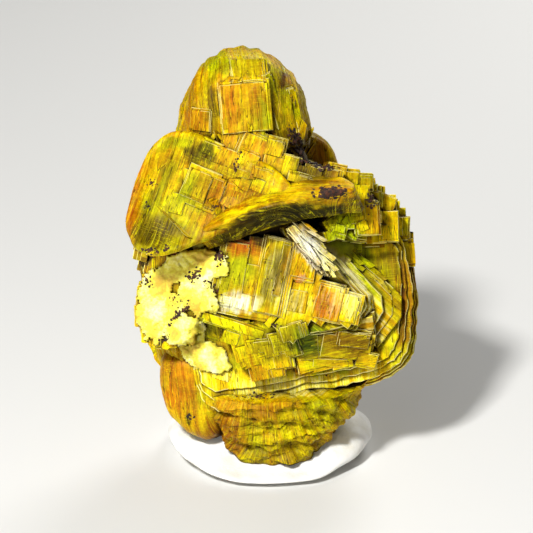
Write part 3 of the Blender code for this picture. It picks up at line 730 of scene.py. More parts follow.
def add_form(book, form, collection):
    """A book grown into a rounded form: a globe drawn out to its outlines, ribbed, fluted and stepped."""
    reach = sum(Vector(p).length for p in book.front) / len(book.front)
    steps = profile_of(book, form, reach)
    round_it = sum((Vector(b) - Vector(a)).length for a, b in sides(book.back))
    count = round(round_it / max(form.wall_step * 1.25, 0.09))
    obj = as_cut(bpy.ops.mesh.primitive_uv_sphere_add, segments=count, ring_count=len(steps) - 1, radius=1.0)
    obj.name = obj.data.name = book.name
    key = len(book.name) + book.depth
    at, unrolled = drawn_out(obj, book, form, steps, count)
    normals = [v.normal.copy() for v in obj.data.vertices]
    out, cells = zip(*(relief_at(form, key, *at[k], unrolled[k]) for k in range(len(at))))
    for vertex, normal, push in zip(obj.data.vertices, normals, out):
        vertex.co += normal * push * MM
    marked_form(obj, key, unrolled, cells)
    put_in(obj, book, collection)


def tree_of(obj):
    return BVHTree.FromPolygons([v.co for v in obj.data.vertices], [p.vertices for p in obj.data.polygons])


def eye_line(across, height):
    return Vector((across, 0, 0)) + UP_IN_VIEW * height + TO_EYE * 30


def resting(trees, plate, book):
    """The book moved to where its plate rests on what the eye sees, and on a form facing as that does."""
    spots = []
    for side, up in ((0, 0), (-0.33, 0), (0.33, 0), (0, -0.33), (0, 0.33)):
        start = eye_line(plate.across + side * plate.width, plate.height + up * plate.tall)
        met = [hit for hit in (tree.ray_cast(start * MM, -TO_EYE)[0] for tree in trees) if hit]
        if not met:
            return None
        spots.append(max(met, key=TO_EYE.dot) / MM)
    facing = Vector(book.facing).normalized()
    if book.name in FORMS:
        left, right, low, high = spots[1:]
        facing = (facing * 0.3 + (right - left).cross(high - low).normalized()).normalized()
    level = sorted(spot.dot(facing) for spot in spots)[2]
    start = eye_line(plate.across, plate.height)
    place = start + TO_EYE * ((level - facing.dot(start)) / facing.dot(TO_EYE))
    return book._replace(place=tuple(place), facing=tuple(facing), bow=0.0)


def put_in(obj, book, collection):
    u, v, n = axes_of(book.facing)
    obj.data.transform(Matrix.Translation(Vector(book.place) * MM) @ Matrix((u, v, n)).transposed().to_4x4())
    for other in obj.users_collection:
        other.objects.unlink(obj)
    collection.objects.link(obj)


def finish_slab(obj, book, rng, collection, chamfer=CHAMFER):
    chamfered(obj, chamfer)
    marked(obj, book, rng)
    if book.bow:
        bowed(obj, book.bow)
    put_in(obj, book, collection)


def add_stack(book, collection):
    rng = random.Random(f"{SEED} stack {book.name}")
    spacing = book.depth / book.sheets
    growths = [0.0] + [rng.choice(GROWTHS) for _ in range(book.sheets - 1)]
    batch, halves = 0, ([], [])
    for layer in range(book.sheets):
        batch += rng.random() < NEW_TEAR
        share = sum(growths[: layer + 1]) / sum(growths)
        halves[layer % 2].append((edge_of(book, share, batch, layer), -layer * spacing - SKIN))
    for half, outlines in enumerate(halves):
        obj = prisms(f"{book.name}_{half}", outlines, STACK_OVERLAP * spacing)
        finish_slab(obj, book, rng, collection)


LEAF_THICK, LEAF_STEP = 0.25, 0.05  # how thick a leaf is, and how much higher each one lies than the last


def add_leaves(book, collection):
    """Part-sheets left on the face when the rest of each split away along the cleavage."""
    for index in range(book.leaves):
        rng = random.Random(f"{SEED} leaf {book.name} {index}")
        points = [p * rng.uniform(0.9, 0.99) for p in edge_of(book, 0.0, index % 2, index * 2)]
        top = -SKIN + LEAF_STEP * (index + 1) + rng.uniform(0, 0.02)
        obj = prisms(f"{book.name}_leaf_{index}", [(points, top)], LEAF_THICK)
        cuts = []
        for _ in range(rng.choice((1, 2, 2))):
            turn = math.radians(book.turn + rng.choice((0, 90, 180, 270)) + rng.uniform(-1.5, 1.5))
            out = Vector((math.cos(turn), math.sin(turn)))
            reach = max(p.dot(out) for p in points)
            cuts.append((out * reach * rng.uniform(0.05, 0.7), out))
        trimmed(obj, cuts)
        if closed(obj):
            finish_slab(obj, book, rng, collection)
        else:
            bpy.data.objects.remove(obj)


# A thin sheet broken to a narrow blade and standing on edge: as a Plate, but lean is how far it is tipped
# out of the face, in degrees.
Blade = namedtuple("Blade", "across height width tall turn rise lean")
BLADES = [
    Blade(1.68, 10.95, 0.25, 1.30, 36, 0.25, 35),
    Blade(1.88, 10.65, 0.25, 1.70, 38, 0.30, -30),
    Blade(2.08, 10.40, 0.30, 1.80, 40, 0.22, 40),
    Blade(2.23, 10.10, 0.25, 1.70, 38, 0.32, -25),
    Blade(2.48, 10.05, 0.30, 2.00, 42, 0.20, 30),
    Blade(2.67, 9.75, 0.25, 1.70, 40, 0.24, -40),
    Blade(2.88, 9.45, 0.25, 1.60, 38, 0.16, 25),
    Blade(2.33, 10.65, 0.20, 1.30, 48, 0.30, 30),
    Blade(2.58, 10.35, 0.20, 1.20, 52, 0.24, -35),
    Blade(2.02, 11.10, 0.20, 0.90, 44, 0.28, 20),
    Blade(2.27, 9.45, 0.30, 1.10, 30, 0.10, 20),
    Blade(3.12, 9.15, 0.20, 1.10, 40, 0.12, -30),
    Blade(3.92, 10.25, 0.30, 1.30, 50, 0.14, 20),
    Blade(4.22, 9.85, 0.35, 1.70, 48, 0.10, -20),
    Blade(4.62, 9.60, 0.30, 1.80, 46, 0.14, 25),
    Blade(4.97, 9.15, 0.35, 1.80, 46, 0.10, -15),
    Blade(5.38, 8.95, 0.30, 1.60, 44, 0.12, 25),
    Blade(5.78, 8.40, 0.30, 1.30, 42, 0.10, -20),
    Blade(4.28, 9.45, 0.25, 1.50, 48, 0.08, 20),
    Blade(3.83, 9.85, 0.25, 1.00, 52, 0.10, -25),
    Blade(-2.42, 15.60, 0.30, 0.70, 20, 0.10, 35),
    Blade(-2.62, 15.50, 0.20, 0.50, -15, 0.12, -30),
    Blade(-2.23, 15.50, 0.15, 0.60, 35, 0.08, 25),
    Blade(-0.88, 16.05, 0.15, 0.45, 5, 0.08, 25),
    Blade(-0.72, 16.00, 0.12, 0.35, -10, 0.07, -20),
    Blade(1.77, 16.00, 0.35, 1.00, -14, 0.10, 30),
    Blade(2.08, 15.70, 0.35, 1.20, -22, 0.14, -30),
    Blade(2.23, 15.10, 0.30, 0.90, -28, 0.12, 30),
    Blade(1.93, 15.20, 0.20, 0.70, -10, 0.12, -25),
    Blade(2.38, 15.55, 0.20, 0.70, -30, 0.10, 20),
    Blade(-4.60, 11.45, 0.16, 2.5, 46, 0.34, 0),
    Blade(-4.80, 11.15, 0.35, 1.9, 42, 0.08, 20),
    Blade(-1.52, 3.95, 0.15, 1.10, -52, 0.08, 30),
    Blade(-3.02, 10.55, 0.20, 0.80, -50, 0.05, 30),
]
BLADE_THICK, BLADE_CHAMFER = 0.045, 0.01


def blade_outline(width, tall, turned, rng):
    """A long splinter with a ragged end."""
    w, h = width / 2, tall / 2
    corners = [
        (-w, -h * rng.uniform(0.7, 1.0)),
        (-w * rng.uniform(0.6, 1.0), h * 0.2),
        (-w * rng.uniform(0.0, 0.6), h),
        (w * rng.uniform(0.1, 0.5), h * rng.uniform(0.6, 0.9)),
        (w, h * rng.uniform(0.1, 0.6)),
        (w * rng.uniform(0.6, 1.0), -h),
    ]
    points = resampled([turned @ Vector(c) for c in corners], 0.25)
    return [p + Vector((rng.uniform(-1, 1), rng.uniform(-1, 1))) * 0.02 for p in points]


def add_blade(blade, index, trees, collection):
    rng = random.Random(f"{SEED} blade {index}")
    plain = FRONT_BOOKS[0]._replace(name="blade", facing=tuple(TO_EYE), grain=blade.turn, depth=1.0)
    book = resting(trees, blade, plain)
    if book is None:
        return
    turn, lean = math.radians(blade.turn), math.radians(blade.lean)
    tipped = Matrix.Rotation(lean, 3, Vector((math.sin(-turn), 0, 0)) + UP_IN_VIEW * math.cos(turn))
    book = book._replace(facing=tuple(tipped @ TO_EYE))
    width = blade.width / max(0.3, math.cos(lean))
    points = blade_outline(width, blade.tall, Matrix.Rotation(turn, 2), rng)
    obj = prisms(f"blade_{index}", [(points, blade.rise)], BLADE_THICK, BLADE_CHAMFER)
    finish_slab(obj, book, rng, collection, BLADE_CHAMFER)


SHEET, SHEET_CHAMFER = 0.05, 0.025  # how thick the sheets of a plate are, and the chamfer round them
SET_BACKS = (0.0, 0.0, 0.02, 0.05, 0.12)  # how much further than the sheet above it one reaches on a side
LOW_NOTCH = 0.3  # the chance that the notch is low on the left, not high on the right
PLATE_LIFT = 0.004  # plates that overlap lie this much apart, so that they never share a plane


def sheet_outline(turned, reach, rng):
    """A square-cornered sheet with one corner notched and its sides a little uneven. reach: how far it goes
    left, down, right and up."""
    left, low, right, high = reach
    notch_w, notch_h = (right + left) * rng.uniform(0.03, 0.2), (high + low) * rng.uniform(0.03, 0.2)
    corners = [
        (-left, -low), (-left, high), (right - notch_w, high), (right - notch_w, high - notch_h),
        (right, high - notch_h), (right, -low),
    ]
    if rng.random() < LOW_NOTCH:
        corners = [
            (-left, -low + notch_h), (-left, high), (right, high), (right, -low),
            (notch_w - left, -low), (notch_w - left, -low + notch_h),
        ]
    points = resampled([turned @ Vector(c) for c in corners], 0.5)
    return [p + Vector((rng.uniform(-1, 1), rng.uniform(-1, 1))) * 0.014 for p in points]


def add_plate(plate, index, trees, collection):
    """A pile of thin sheets, each set back a little from the one below it."""
    rng = random.Random(f"{SEED} plate {index}")
    book = resting(trees, plate, next(b for b in FRONT_BOOKS if b.name == plate.book))
    if book is None:
        return
    turned = Matrix.Rotation(math.radians(plate.turn), 2)
    rise = plate.rise + PLATE_LIFT * (index % 5)
    reach = [plate.width / 2, plate.tall / 2, plate.width / 2, plate.tall / 2]
    count = max(2, min(6, round(plate.rise / SHEET) + 2))
    halves = ([], [])
    for layer in range(count):
        halves[layer % 2].append((sheet_outline(turned, reach, rng), rise - layer * SHEET))
        reach = [r + rng.choice(SET_BACKS) for r in reach]
    base = [(sheet_outline(turned, reach, rng), rise - count * SHEET)]
    layers = (halves[0], PLATE_OVERLAP * SHEET), (halves[1], PLATE_OVERLAP * SHEET), (base, plate.thick)
    for part, (outlines, thick) in enumerate(layers):
        obj = prisms(f"plate_{index}_{part}", outlines, thick, SHEET_CHAMFER)
        finish_slab(obj, book, rng, collection, SHEET_CHAMFER)
        if part != 1:
            trees.append(tree_of(obj))


def as_cut(kind, **size):
    bpy.ops.object.select_all(action="DESELECT")
    kind(**size)
    return bpy.context.object


def hidden_away(collection):
    collection.hide_render = True
    for obj in list(collection.objects):
        bpy.data.objects.remove(obj)


LUMPS = {  # the middle of each rounded core, and half its size along x, y and z
    "middle": ((0.4, 0.4, 9.6), (5.4, 3.6, 6.2)),
    "foot": ((0.4, 0.2, 4.0), (4.0, 3.0, 3.4)),
    "upper": ((-1.1, -0.4, 14.6), (3.4, 2.6, 3.6)),
    "crown": ((-1.1, 0.0, 16.4), (2.7, 2.5, 2.6)),
}
BLADES_PART = 11.15  # the blades above this height are on the upper crystals
UPPER_BOOKS = ("crown", "saucer", "stair", "lip", "rear_disc")
LOWER_BOOKS = ("terraces", "band", "foot", "amber_lobe")


def lump(name):
    """A rounded core that the books stand on."""
    place, reach = LUMPS[name]
    obj = as_cut(bpy.ops.mesh.primitive_ico_sphere_add, subdivisions=4, radius=MM)
    obj.data.transform(Matrix.Translation(Vector(place) * MM) @ Matrix.Diagonal((*reach, 1)))
    obj.name = f"{name}_core"
    return obj


BOX_MARGIN = 0.005  # how far inside the solid's box a piece ends, in millimetres


def kept_in_box(piece):
    """Keeps a torn edge inside the solid's box; what stands on the shelf may reach right down to it."""
    low, high = cad_box
    for vertex in piece.data.vertices:
        for axis in range(3):
            margin = BOX_MARGIN * MM if axis < 2 or vertex.co[axis] > MM else 0.0
            vertex.co[axis] = min(max(vertex.co[axis], low[axis] + margin), high[axis] - margin)


SMOOTH_UP_TO = 16  # faces that meet at fewer degrees than this are shaded as one


def grown_together(name, core, books, plates=(), blades=()):
    """All the sheets of these books and the core made one closed crystal group."""
    made = bpy.data.collections.new(name + "_sheets")
    bpy.context.scene.collection.children.link(made)
    for book in books:
        if book.name in FORMS:
            add_form(book, FORMS[book.name], made)
        else:
            add_stack(book, made)
            add_leaves(book, made)
    trees = [tree_of(obj) for obj in made.objects]
    for index, plate in enumerate(plates):
        if any(book.name == plate.book for book in books):
            add_plate(plate, index, trees, made)
    for index, blade in enumerate(blades):
        add_blade(blade, index, trees, made)
    union = core.modifiers.new("grown together", "BOOLEAN")
    union.operation, union.operand_type, union.solver = "UNION", "COLLECTION", "MANIFOLD"
    union.collection = made
    only(core)
    bpy.ops.object.modifier_apply(modifier=union.name)
    hidden_away(made)
    core.name = core.data.name = name
    kept_in_box(core)
    only(core)
    bpy.ops.object.shade_smooth_by_angle(angle=math.radians(SMOOTH_UP_TO))
    return core


# ---------------------------------------------------------------- materials


def linear(colour):
    """A "#rrggbb" colour as the shader wants it."""
    red_green_blue = [int(colour[k : k + 2], 16) / 255 for k in (1, 3, 5)]
    return (*(c / 12.92 if c <= 0.04045 else ((c + 0.055) / 1.055) ** 2.4 for c in red_green_blue), 1.0)


def add(tree, kind, links=None, **settings):
    """A node with its settings, and what goes into its sockets: another node's output, or a value."""
    made = tree.nodes.new(kind)
    for name, value in settings.items():
        setattr(made, name, value)
    for socket, value in (links or {}).items():
        if isinstance(value, bpy.types.NodeSocket):
            tree.links.new(value, made.inputs[socket])
        else:
            made.inputs[socket].default_value = value
    return made


def new_material(name):
    material = bpy.data.materials.new(name)
    material.use_nodes = True
    material.node_tree.nodes.clear()
    return material, material.node_tree


def set_stops(ramp, first, last, between=()):
    """Sets a ramp's stops, each a (position, "#rrggbb")."""
    stops = ramp.color_ramp.elements
    for stop, (position, colour) in zip(stops, (first, last)):
        stop.position, stop.color = position, linear(colour)
    for position, colour in between:
        stops.new(position).color = linear(colour)


def millimetres(tree):
    """Where a spot of the piece is, in millimetres."""
    metres = add(tree, "ShaderNodeTexCoord").outputs["Object"]
    return add(
        tree, "ShaderNodeVectorMath", {0: metres, "Scale": 1000.0}, operation="SCALE"
    ).outputs["Vector"]


LEMON, GOLD, AMBER, ORANGE = "#ecd000", "#daa800", "#c88400", "#cc7400"
OLIVE, MOSS, LEAF, CREAM = "#786600", "#8a9000", "#aebc00", "#f6eea4"
TAN, WHITE, RUST = "#d9a658", "#efecd8", "#3d1d03"
# the light on a split's lip is a painted highlight
CRACK, PAINTED_GLINT = "#3a2a02", "#f6ea5a"  # the dark inside a split, and the light on its lip
# a step's own darker tone, and the painted highlight along the line where a step ends
STEP_SHADE, STEP_EDGE_HIGHLIGHT = "#5a4a06", "#f4e560"
# light painted on broken rims, brown on the sides of sheets, and painted shade in the gaps between them
RIM_LIGHT, SHEET_SIDE, PAINTED_GAP_SHADE = "#fff29a", "#6e4a04", "#2e1b01"

# Where the crystals change colour, and where shade and highlight are painted on, as seen from the front:
# middle across and height, half width and half height, turn, all in millimetres and degrees, then the colour
# and how strong it is.
Patch = namedtuple("Patch", "across height width tall turn colour strength")
PATCHES = [
    Patch(-3.30, 17.40, 0.85, 1.30, -10, "#8c6e06", 0.45),
    Patch(-3.83, 17.80, 0.60, 2.00, -12, TAN, 0.45),
    Patch(-3.52, 16.45, 0.70, 0.60, 0, AMBER, 0.50),
    Patch(-2.67, 17.15, 0.30, 1.30, 0, OLIVE, 0.75),
    Patch(-1.73, 16.95, 0.45, 1.10, 5, ORANGE, 0.55),
    Patch(-1.13, 19.30, 1.30, 0.80, 0, "#a89a10", 0.55),
    Patch(-1.43, 19.65, 1.00, 0.30, 0, LEMON, 0.50),
    Patch(-2.42, 19.35, 0.70, 0.60, 0, LEAF, 0.45),
    Patch(-0.23, 16.65, 0.40, 1.20, 3, LEAF, 0.65),
    Patch(-0.68, 17.35, 0.30, 0.90, 5, AMBER, 0.40),
    Patch(0.47, 17.05, 0.35, 1.70, 3, OLIVE, 0.60),
    Patch(0.82, 18.40, 0.20, 0.50, 0, "#7a4204", 0.80),
    Patch(1.27, 18.75, 0.30, 1.25, 10, TAN, 0.50),
    Patch(1.73, 17.55, 0.25, 1.10, 8, LEMON, 0.50),
    Patch(0.97, 15.55, 0.45, 0.50, 0, OLIVE, 0.70),
    Patch(-6.62, 12.30, 0.45, 3.10, -10, ORANGE, 0.65),
    Patch(-5.33, 15.05, 1.10, 0.60, 30, LEMON, 0.80),
    Patch(-4.33, 15.25, 1.00, 0.35, 10, LEAF, 0.60),
    Patch(-3.27, 14.75, 0.75, 0.50, -10, "#55540a", 0.85),
    Patch(-5.12, 13.25, 0.40, 1.50, -30, MOSS, 0.65),
    # painted shade: dark olive in the deep lower left of the saucer's bowl
    Patch(-5.42, 10.95, 1.20, 0.80, 10, OLIVE, 0.90),
    Patch(-4.33, 10.30, 1.10, 0.30, 20, ORANGE, 0.55),
    Patch(-3.17, 12.80, 1.05, 0.95, -19, OLIVE, 0.45),
    Patch(-3.98, 13.05, 0.40, 0.80, -19, LEAF, 0.50),
    Patch(-1.32, 12.55, 1.70, 0.90, -15, AMBER, 0.70),
    Patch(-2.62, 11.25, 1.10, 0.50, -25, ORANGE, 0.50),
    Patch(-2.23, 14.05, 2.00, 0.30, -14, OLIVE, 0.40),
    Patch(-0.53, 15.05, 0.70, 0.50, 0, ORANGE, 0.40),
    Patch(-0.62, 14.15, 0.70, 0.60, -20, AMBER, 0.40),
    Patch(0.88, 14.35, 1.20, 1.00, -15, LEMON, 0.70),
    Patch(2.67, 13.85, 1.00, 0.50, -15, GOLD, 0.60),
    Patch(-1.73, 15.35, 0.45, 0.45, 0, AMBER, 0.60),
    # painted highlight: the three lemon lines below light the lip's top edge
    Patch(-1.60, 11.65, 1.30, 0.20, 32, "#f4e40c", 0.95),
    Patch(0.10, 12.60, 1.20, 0.20, 20, "#f0de0c", 0.90),
    Patch(1.93, 12.90, 2.00, 0.25, -3, LEMON, 0.80),
    # painted shade on the lip's front face, then painted shadow under the lip
    Patch(0.20, 11.90, 1.50, 0.40, 12, "#3c3604", 0.92),
    Patch(1.68, 11.75, 3.00, 0.50, 8, "#242602", 0.96),
    Patch(-1.10, 11.05, 1.90, 0.45, 24, "#332c02", 0.92),
    Patch(-0.23, 10.65, 1.60, 0.40, 10, RUST, 0.90),
    Patch(-1.27, 10.20, 0.85, 0.45, -5, ORANGE, 0.80),
    Patch(-1.45, 9.00, 0.85, 0.80, -8, "#c2c80e", 0.85),
    Patch(-1.32, 7.40, 1.25, 0.60, -5, WHITE, 0.90),
    Patch(0.38, 8.75, 0.72, 1.95, -10, "#9c8f62", 0.96),
    Patch(0.88, 9.45, 0.30, 1.40, -12, "#857a48", 0.60),
    Patch(-3.33, 6.35, 1.00, 0.70, -30, LEAF, 0.75),
    Patch(-1.90, 6.45, 1.90, 0.45, -15, "#e8dc10", 0.92),
    Patch(-0.72, 6.55, 1.00, 0.25, -15, LEMON, 0.60),
    Patch(1.57, 9.45, 0.60, 1.20, -12, GOLD, 0.70),
    Patch(1.68, 8.75, 0.32, 0.40, -8, "#dcac90", 0.95),
    Patch(1.38, 7.50, 1.05, 0.85, 0, "#f6eca4", 0.88),
    Patch(3.05, 7.40, 0.75, 0.90, -14, "#dba682", 0.95),
    Patch(4.17, 7.25, 0.50, 0.80, -16, "#f4e69c", 0.88),
    Patch(2.28, 9.95, 0.62, 1.50, 38, "#fffdf0", 0.98),
    Patch(4.70, 7.90, 1.50, 1.40, 0, "#fff4ac", 0.88),
    Patch(3.80, 8.95, 0.70, 1.70, 42, "#fff6c0", 0.92),
    Patch(5.15, 8.45, 0.30, 1.30, 45, LEAF, 0.55),
    Patch(5.58, 6.15, 0.90, 0.80, -30, "#fbf2b8", 0.80),
    Patch(3.75, 10.85, 0.95, 0.85, 0, "#c3cf72", 0.80),
    Patch(4.47, 9.95, 1.10, 0.60, -38, LEAF, 0.70),
    Patch(6.08, 9.15, 0.70, 0.70, -40, OLIVE, 0.60),
    Patch(4.28, 13.65, 0.90, 0.40, -8, LEMON, 0.50),
    Patch(4.42, 12.15, 0.35, 0.55, -3, OLIVE, 0.80),
    Patch(6.30, 11.45, 0.95, 0.70, -5, AMBER, 0.75),
    Patch(6.92, 11.25, 0.40, 0.50, 0, LEMON, 0.40),
    Patch(6.67, 9.90, 1.00, 0.35, 0, OLIVE, 0.60),
    Patch(5.28, 12.55, 0.35, 0.40, 0, RUST, 0.60),
    Patch(7.18, 7.55, 0.55, 2.80, -4, "#b07206", 0.88),
    Patch(6.78, 7.95, 0.25, 2.20, 0, "#7a4c08", 0.60),
    Patch(7.72, 7.55, 0.20, 2.50, 0, LEMON, 0.50),
    Patch(6.88, 4.45, 0.60, 1.00, -30, CREAM, 0.40),
    Patch(0.42, 5.25, 1.30, 0.80, 15, "#a29208", 0.80),
    Patch(-0.53, 4.70, 0.40, 0.40, 0, "#b8683a", 0.75),
    Patch(3.50, 5.25, 1.90, 0.95, 0, "#6a5404", 0.50),
    Patch(2.12, 5.60, 0.90, 0.80, 8, "#64800a", 0.90),
    Patch(4.18, 5.45, 1.45, 0.65, -8, "#8f6804", 0.90),
    Patch(3.48, 4.25, 1.80, 0.35, 8, LEAF, 0.60),
    Patch(1.73, 3.85, 0.50, 0.40, 5, "#d29468", 0.85),
    Patch(-2.60, 3.85, 1.50, 1.10, -20, "#fbf0a4", 0.82),
    Patch(-2.00, 2.20, 1.60, 0.40, 2, "#f4dc96", 0.75),
    Patch(1.27, 3.20, 3.60, 0.62, 3, "#fff4ac", 0.92),
    Patch(4.88, 3.90, 1.60, 0.55, 18, "#fff0a0", 0.80),
    Patch(-1.73, 2.30, 1.30, 0.35, 5, TAN, 0.60),
    Patch(-1.32, 4.25, 0.50, 0.40, 0, LEAF, 0.50),
    Patch(-4.42, 3.25, 0.90, 2.10, 12, AMBER, 0.85),
    Patch(-4.83, 2.75, 0.40, 0.80, 10, ORANGE, 0.60),
    Patch(-3.98, 1.55, 0.25, 0.25, 0, RUST, 0.80),
    Patch(-2.12, 0.55, 1.10, 1.30, 10, "#a2640a", 0.75),
    Patch(1.40, 1.30, 2.20, 0.80, 5, "#e6e046", 0.70),
    Patch(1.68, -0.25, 2.50, 0.70, 0, MOSS, 0.45),
    Patch(3.42, 1.95, 1.50, 0.60, 0, LEAF, 0.40),
    Patch(-0.23, 1.85, 1.00, 0.45, 0, "#a8622a", 0.60),
    Patch(2.38, 14.45, 1.10, 1.40, 0, OLIVE, 0.90),
]

# Which of the patches each group has: the least and most across, then the least and most height, of each of
# its boxes.
PATCH_BOXES = {
    "upper_crystals": ((-9, 9, 10.7, 22),),
    "front_crystals": ((-9, 6.2, 4.9, 12.6),),
    "lower_crystals": ((-9, 9, -1, 5.6), (4.0, 9, 5.6, 12.6)),
    "rear_crystals": (),
}


def colour_of_patches(tree, seen, base, group):
    """Lays the group's soft patches one over the other on the base colour."""
    colour = base
    boxes = PATCH_BOXES[group]
    for patch in PATCHES:
        if not any(a < patch.across < b and c < patch.height < d for a, b, c, d in boxes):
            continue
        placed = {
            "Vector": seen,
            "Location": (patch.across, patch.height, 0),
            "Rotation": (0, 0, math.radians(patch.turn)),
            "Scale": (patch.width, patch.tall, 1),
        }
        local = add(tree, "ShaderNodeMapping", placed, vector_type="TEXTURE").outputs["Vector"]
        far = add(tree, "ShaderNodeVectorMath", {0: local}, operation="LENGTH").outputs["Value"]
        share = add(
            tree, "ShaderNodeMapRange",
            {"Value": far, "From Min": 1.35, "From Max": 0.55, "To Max": patch.strength},
            interpolation_type="SMOOTHSTEP",
        ).outputs["Result"]
        laid = {0: share, 6: colour, 7: linear(patch.colour)}
        colour = add(tree, "ShaderNodeMix", laid, data_type="RGBA").outputs[2]
    return colour


def ground_colour(tree, mm, group):
    """Lemon, gold and amber that drift into each other over a few millimetres, with the group's patches in
    front, whose borders wander by a few tenths of a millimetre."""
    drift = add(tree, "ShaderNodeTexNoise", {"Vector": mm, "Scale": 1.3, "Detail": 3.0}).outputs["Color"]
    shift = add(
        tree, "ShaderNodeVectorMath", {0: drift, 1: (0.5, 0.5, 0.5)}, operation="SUBTRACT"
    ).outputs["Vector"]
    moved = add(
        tree, "ShaderNodeVectorMath", {0: shift, 1: (1.1, 1.1, 1.1), 2: mm}, operation="MULTIPLY_ADD"
    ).outputs["Vector"]
    height = add(
        tree, "ShaderNodeVectorMath", {0: moved, 1: tuple(UP_IN_VIEW)}, operation="DOT_PRODUCT"
    ).outputs["Value"]
    apart = add(tree, "ShaderNodeSeparateXYZ", {"Vector": moved})
    seen = add(tree, "ShaderNodeCombineXYZ", {"X": apart.outputs["X"], "Y": height}).outputs["Vector"]
    cloud = add(
        tree, "ShaderNodeTexNoise", {"Vector": mm, "Scale": 0.33, "Detail": 4.0, "Roughness": 0.6}
    ).outputs["Fac"]
    ramp = add(tree, "ShaderNodeValToRGB", {"Fac": cloud})
    set_stops(ramp, (0.32, OLIVE), (0.68, AMBER), ((0.42, LEAF), (0.5, LEMON), (0.59, GOLD)))
    ground = ramp.outputs["Color"]
    base = add(tree, "ShaderNodeMix", {0: 0.55, 6: linear(LEMON), 7: ground}, data_type="RGBA").outputs[2]
    patches = colour_of_patches(tree, seen, base, group)
    front = add(
        tree, "ShaderNodeMapRange", {"Value": apart.outputs["Y"], "From Min": 3.0, "From Max": 1.2}
    ).outputs["Result"]
    return add(tree, "ShaderNodeMix", {0: front, 6: ground, 7: patches}, data_type="RGBA").outputs[2]


def growth_bands(tree, bands, fine, coloured):
    """Growth bands turn golden, and the fine striations between them pale."""
    band_share = add(
        tree, "ShaderNodeMapRange", {"Value": bands, "From Min": 0.5, "From Max": 0.66, "To Max": 0.7}
    ).outputs["Result"]
    banded = add(
        tree, "ShaderNodeMix",
        {0: band_share, 6: coloured, 7: linear(GOLD)},
        data_type="RGBA", blend_type="MULTIPLY",
    ).outputs[2]
    pale_share = add(
        tree, "ShaderNodeMapRange", {"Value": fine, "From Min": 0.58, "From Max": 0.75, "To Max": 0.25}
    ).outputs["Result"]
    return add(
        tree, "ShaderNodeMix", {0: pale_share, 6: banded, 7: linear(CREAM)}, data_type="RGBA"
    ).outputs[2]


def open_splits(tree, long_grain, colour):
    """Splits along the grain: a dark crack with a painted highlight along one lip."""
    split = add(
        tree, "ShaderNodeTexNoise",
        {"Vector": long_grain, "Scale": 2.9, "Detail": 2.0, "Roughness": 0.6, "Distortion": 0.15},
    ).outputs["Fac"]
    # the first pass paints a highlight beside the crack, the second the crack itself
    for where, half_width, strength, over in ((0.519, 0.008, 0.5, PAINTED_GLINT), (0.5, 0.009, 0.65, CRACK)):
        there = add(
            tree, "ShaderNodeMath", {0: split, 1: where, 2: half_width}, operation="COMPARE"
        ).outputs[0]
        share = add(tree, "ShaderNodeMath", {0: there, 1: strength}, operation="MULTIPLY").outputs[0]
        colour = add(
            tree, "ShaderNodeMix", {0: share, 6: colour, 7: linear(over)}, data_type="RGBA"
        ).outputs[2]
    return colour


def cleavage_traces(tree, mm, grain, tint, colour, relief):
    """Straight steps half a millimetre to a millimetre apart in two square directions, each with its own
    shade and height and a painted highlight line where it ends. They fade in and out along their length."""
    along = add(tree, "ShaderNodeSeparateXYZ", {"Vector": grain})
    offset = add(tree, "ShaderNodeMath", {0: tint, 1: 40.0}, operation="MULTIPLY").outputs[0]
    for side, per_mm, shade, fading in (("X", 1.9, 0.34, 3.0), ("Y", 1.1, 0.24, 8.0)):
        at = add(
            tree, "ShaderNodeMath", {0: along.outputs[side], 1: per_mm, 2: offset}, operation="MULTIPLY_ADD"
        ).outputs[0]
        step = add(tree, "ShaderNodeTexVoronoi", {"W": at}, voronoi_dimensions="1D").outputs["Color"]
        own = add(tree, "ShaderNodeSeparateXYZ", {"Vector": step}).outputs["X"]
        edge = add(
            tree, "ShaderNodeTexVoronoi", {"W": at}, voronoi_dimensions="1D", feature="DISTANCE_TO_EDGE"
        ).outputs["Distance"]
        fade = add(
            tree, "ShaderNodeTexNoise",
            {"Vector": mm, "W": fading, "Scale": 0.9, "Detail": 1.0},
            noise_dimensions="4D",
        ).outputs["Fac"]
        there = add(
            tree, "ShaderNodeMapRange", {"Value": fade, "From Min": 0.5, "From Max": 0.62}
        ).outputs["Result"]
        sunk = add(tree, "ShaderNodeMath", {0: own, 1: there}, operation="MULTIPLY").outputs[0]
        darken = add(tree, "ShaderNodeMath", {0: sunk, 1: shade}, operation="MULTIPLY").outputs[0]
        shaded = add(
            tree, "ShaderNodeMix", {0: darken, 6: colour, 7: linear(STEP_SHADE)}, data_type="RGBA"
        ).outputs[2]
        # painted highlight along the end of each step
        near_edge = add(
            tree, "ShaderNodeMapRange", {"Value": edge, "From Min": 0.05, "From Max": 0.02, "To Max": 0.8}
        ).outputs["Result"]
        line = add(tree, "ShaderNodeMath", {0: near_edge, 1: there}, operation="MULTIPLY").outputs[0]
        colour = add(
            tree, "ShaderNodeMix", {0: line, 6: shaded, 7: linear(STEP_EDGE_HIGHLIGHT)}, data_type="RGBA"
        ).outputs[2]
        relief = add(
            tree, "ShaderNodeMath", {0: sunk, 1: 1.4, 2: relief}, operation="MULTIPLY_ADD"
        ).outputs[0]
    return colour, relief


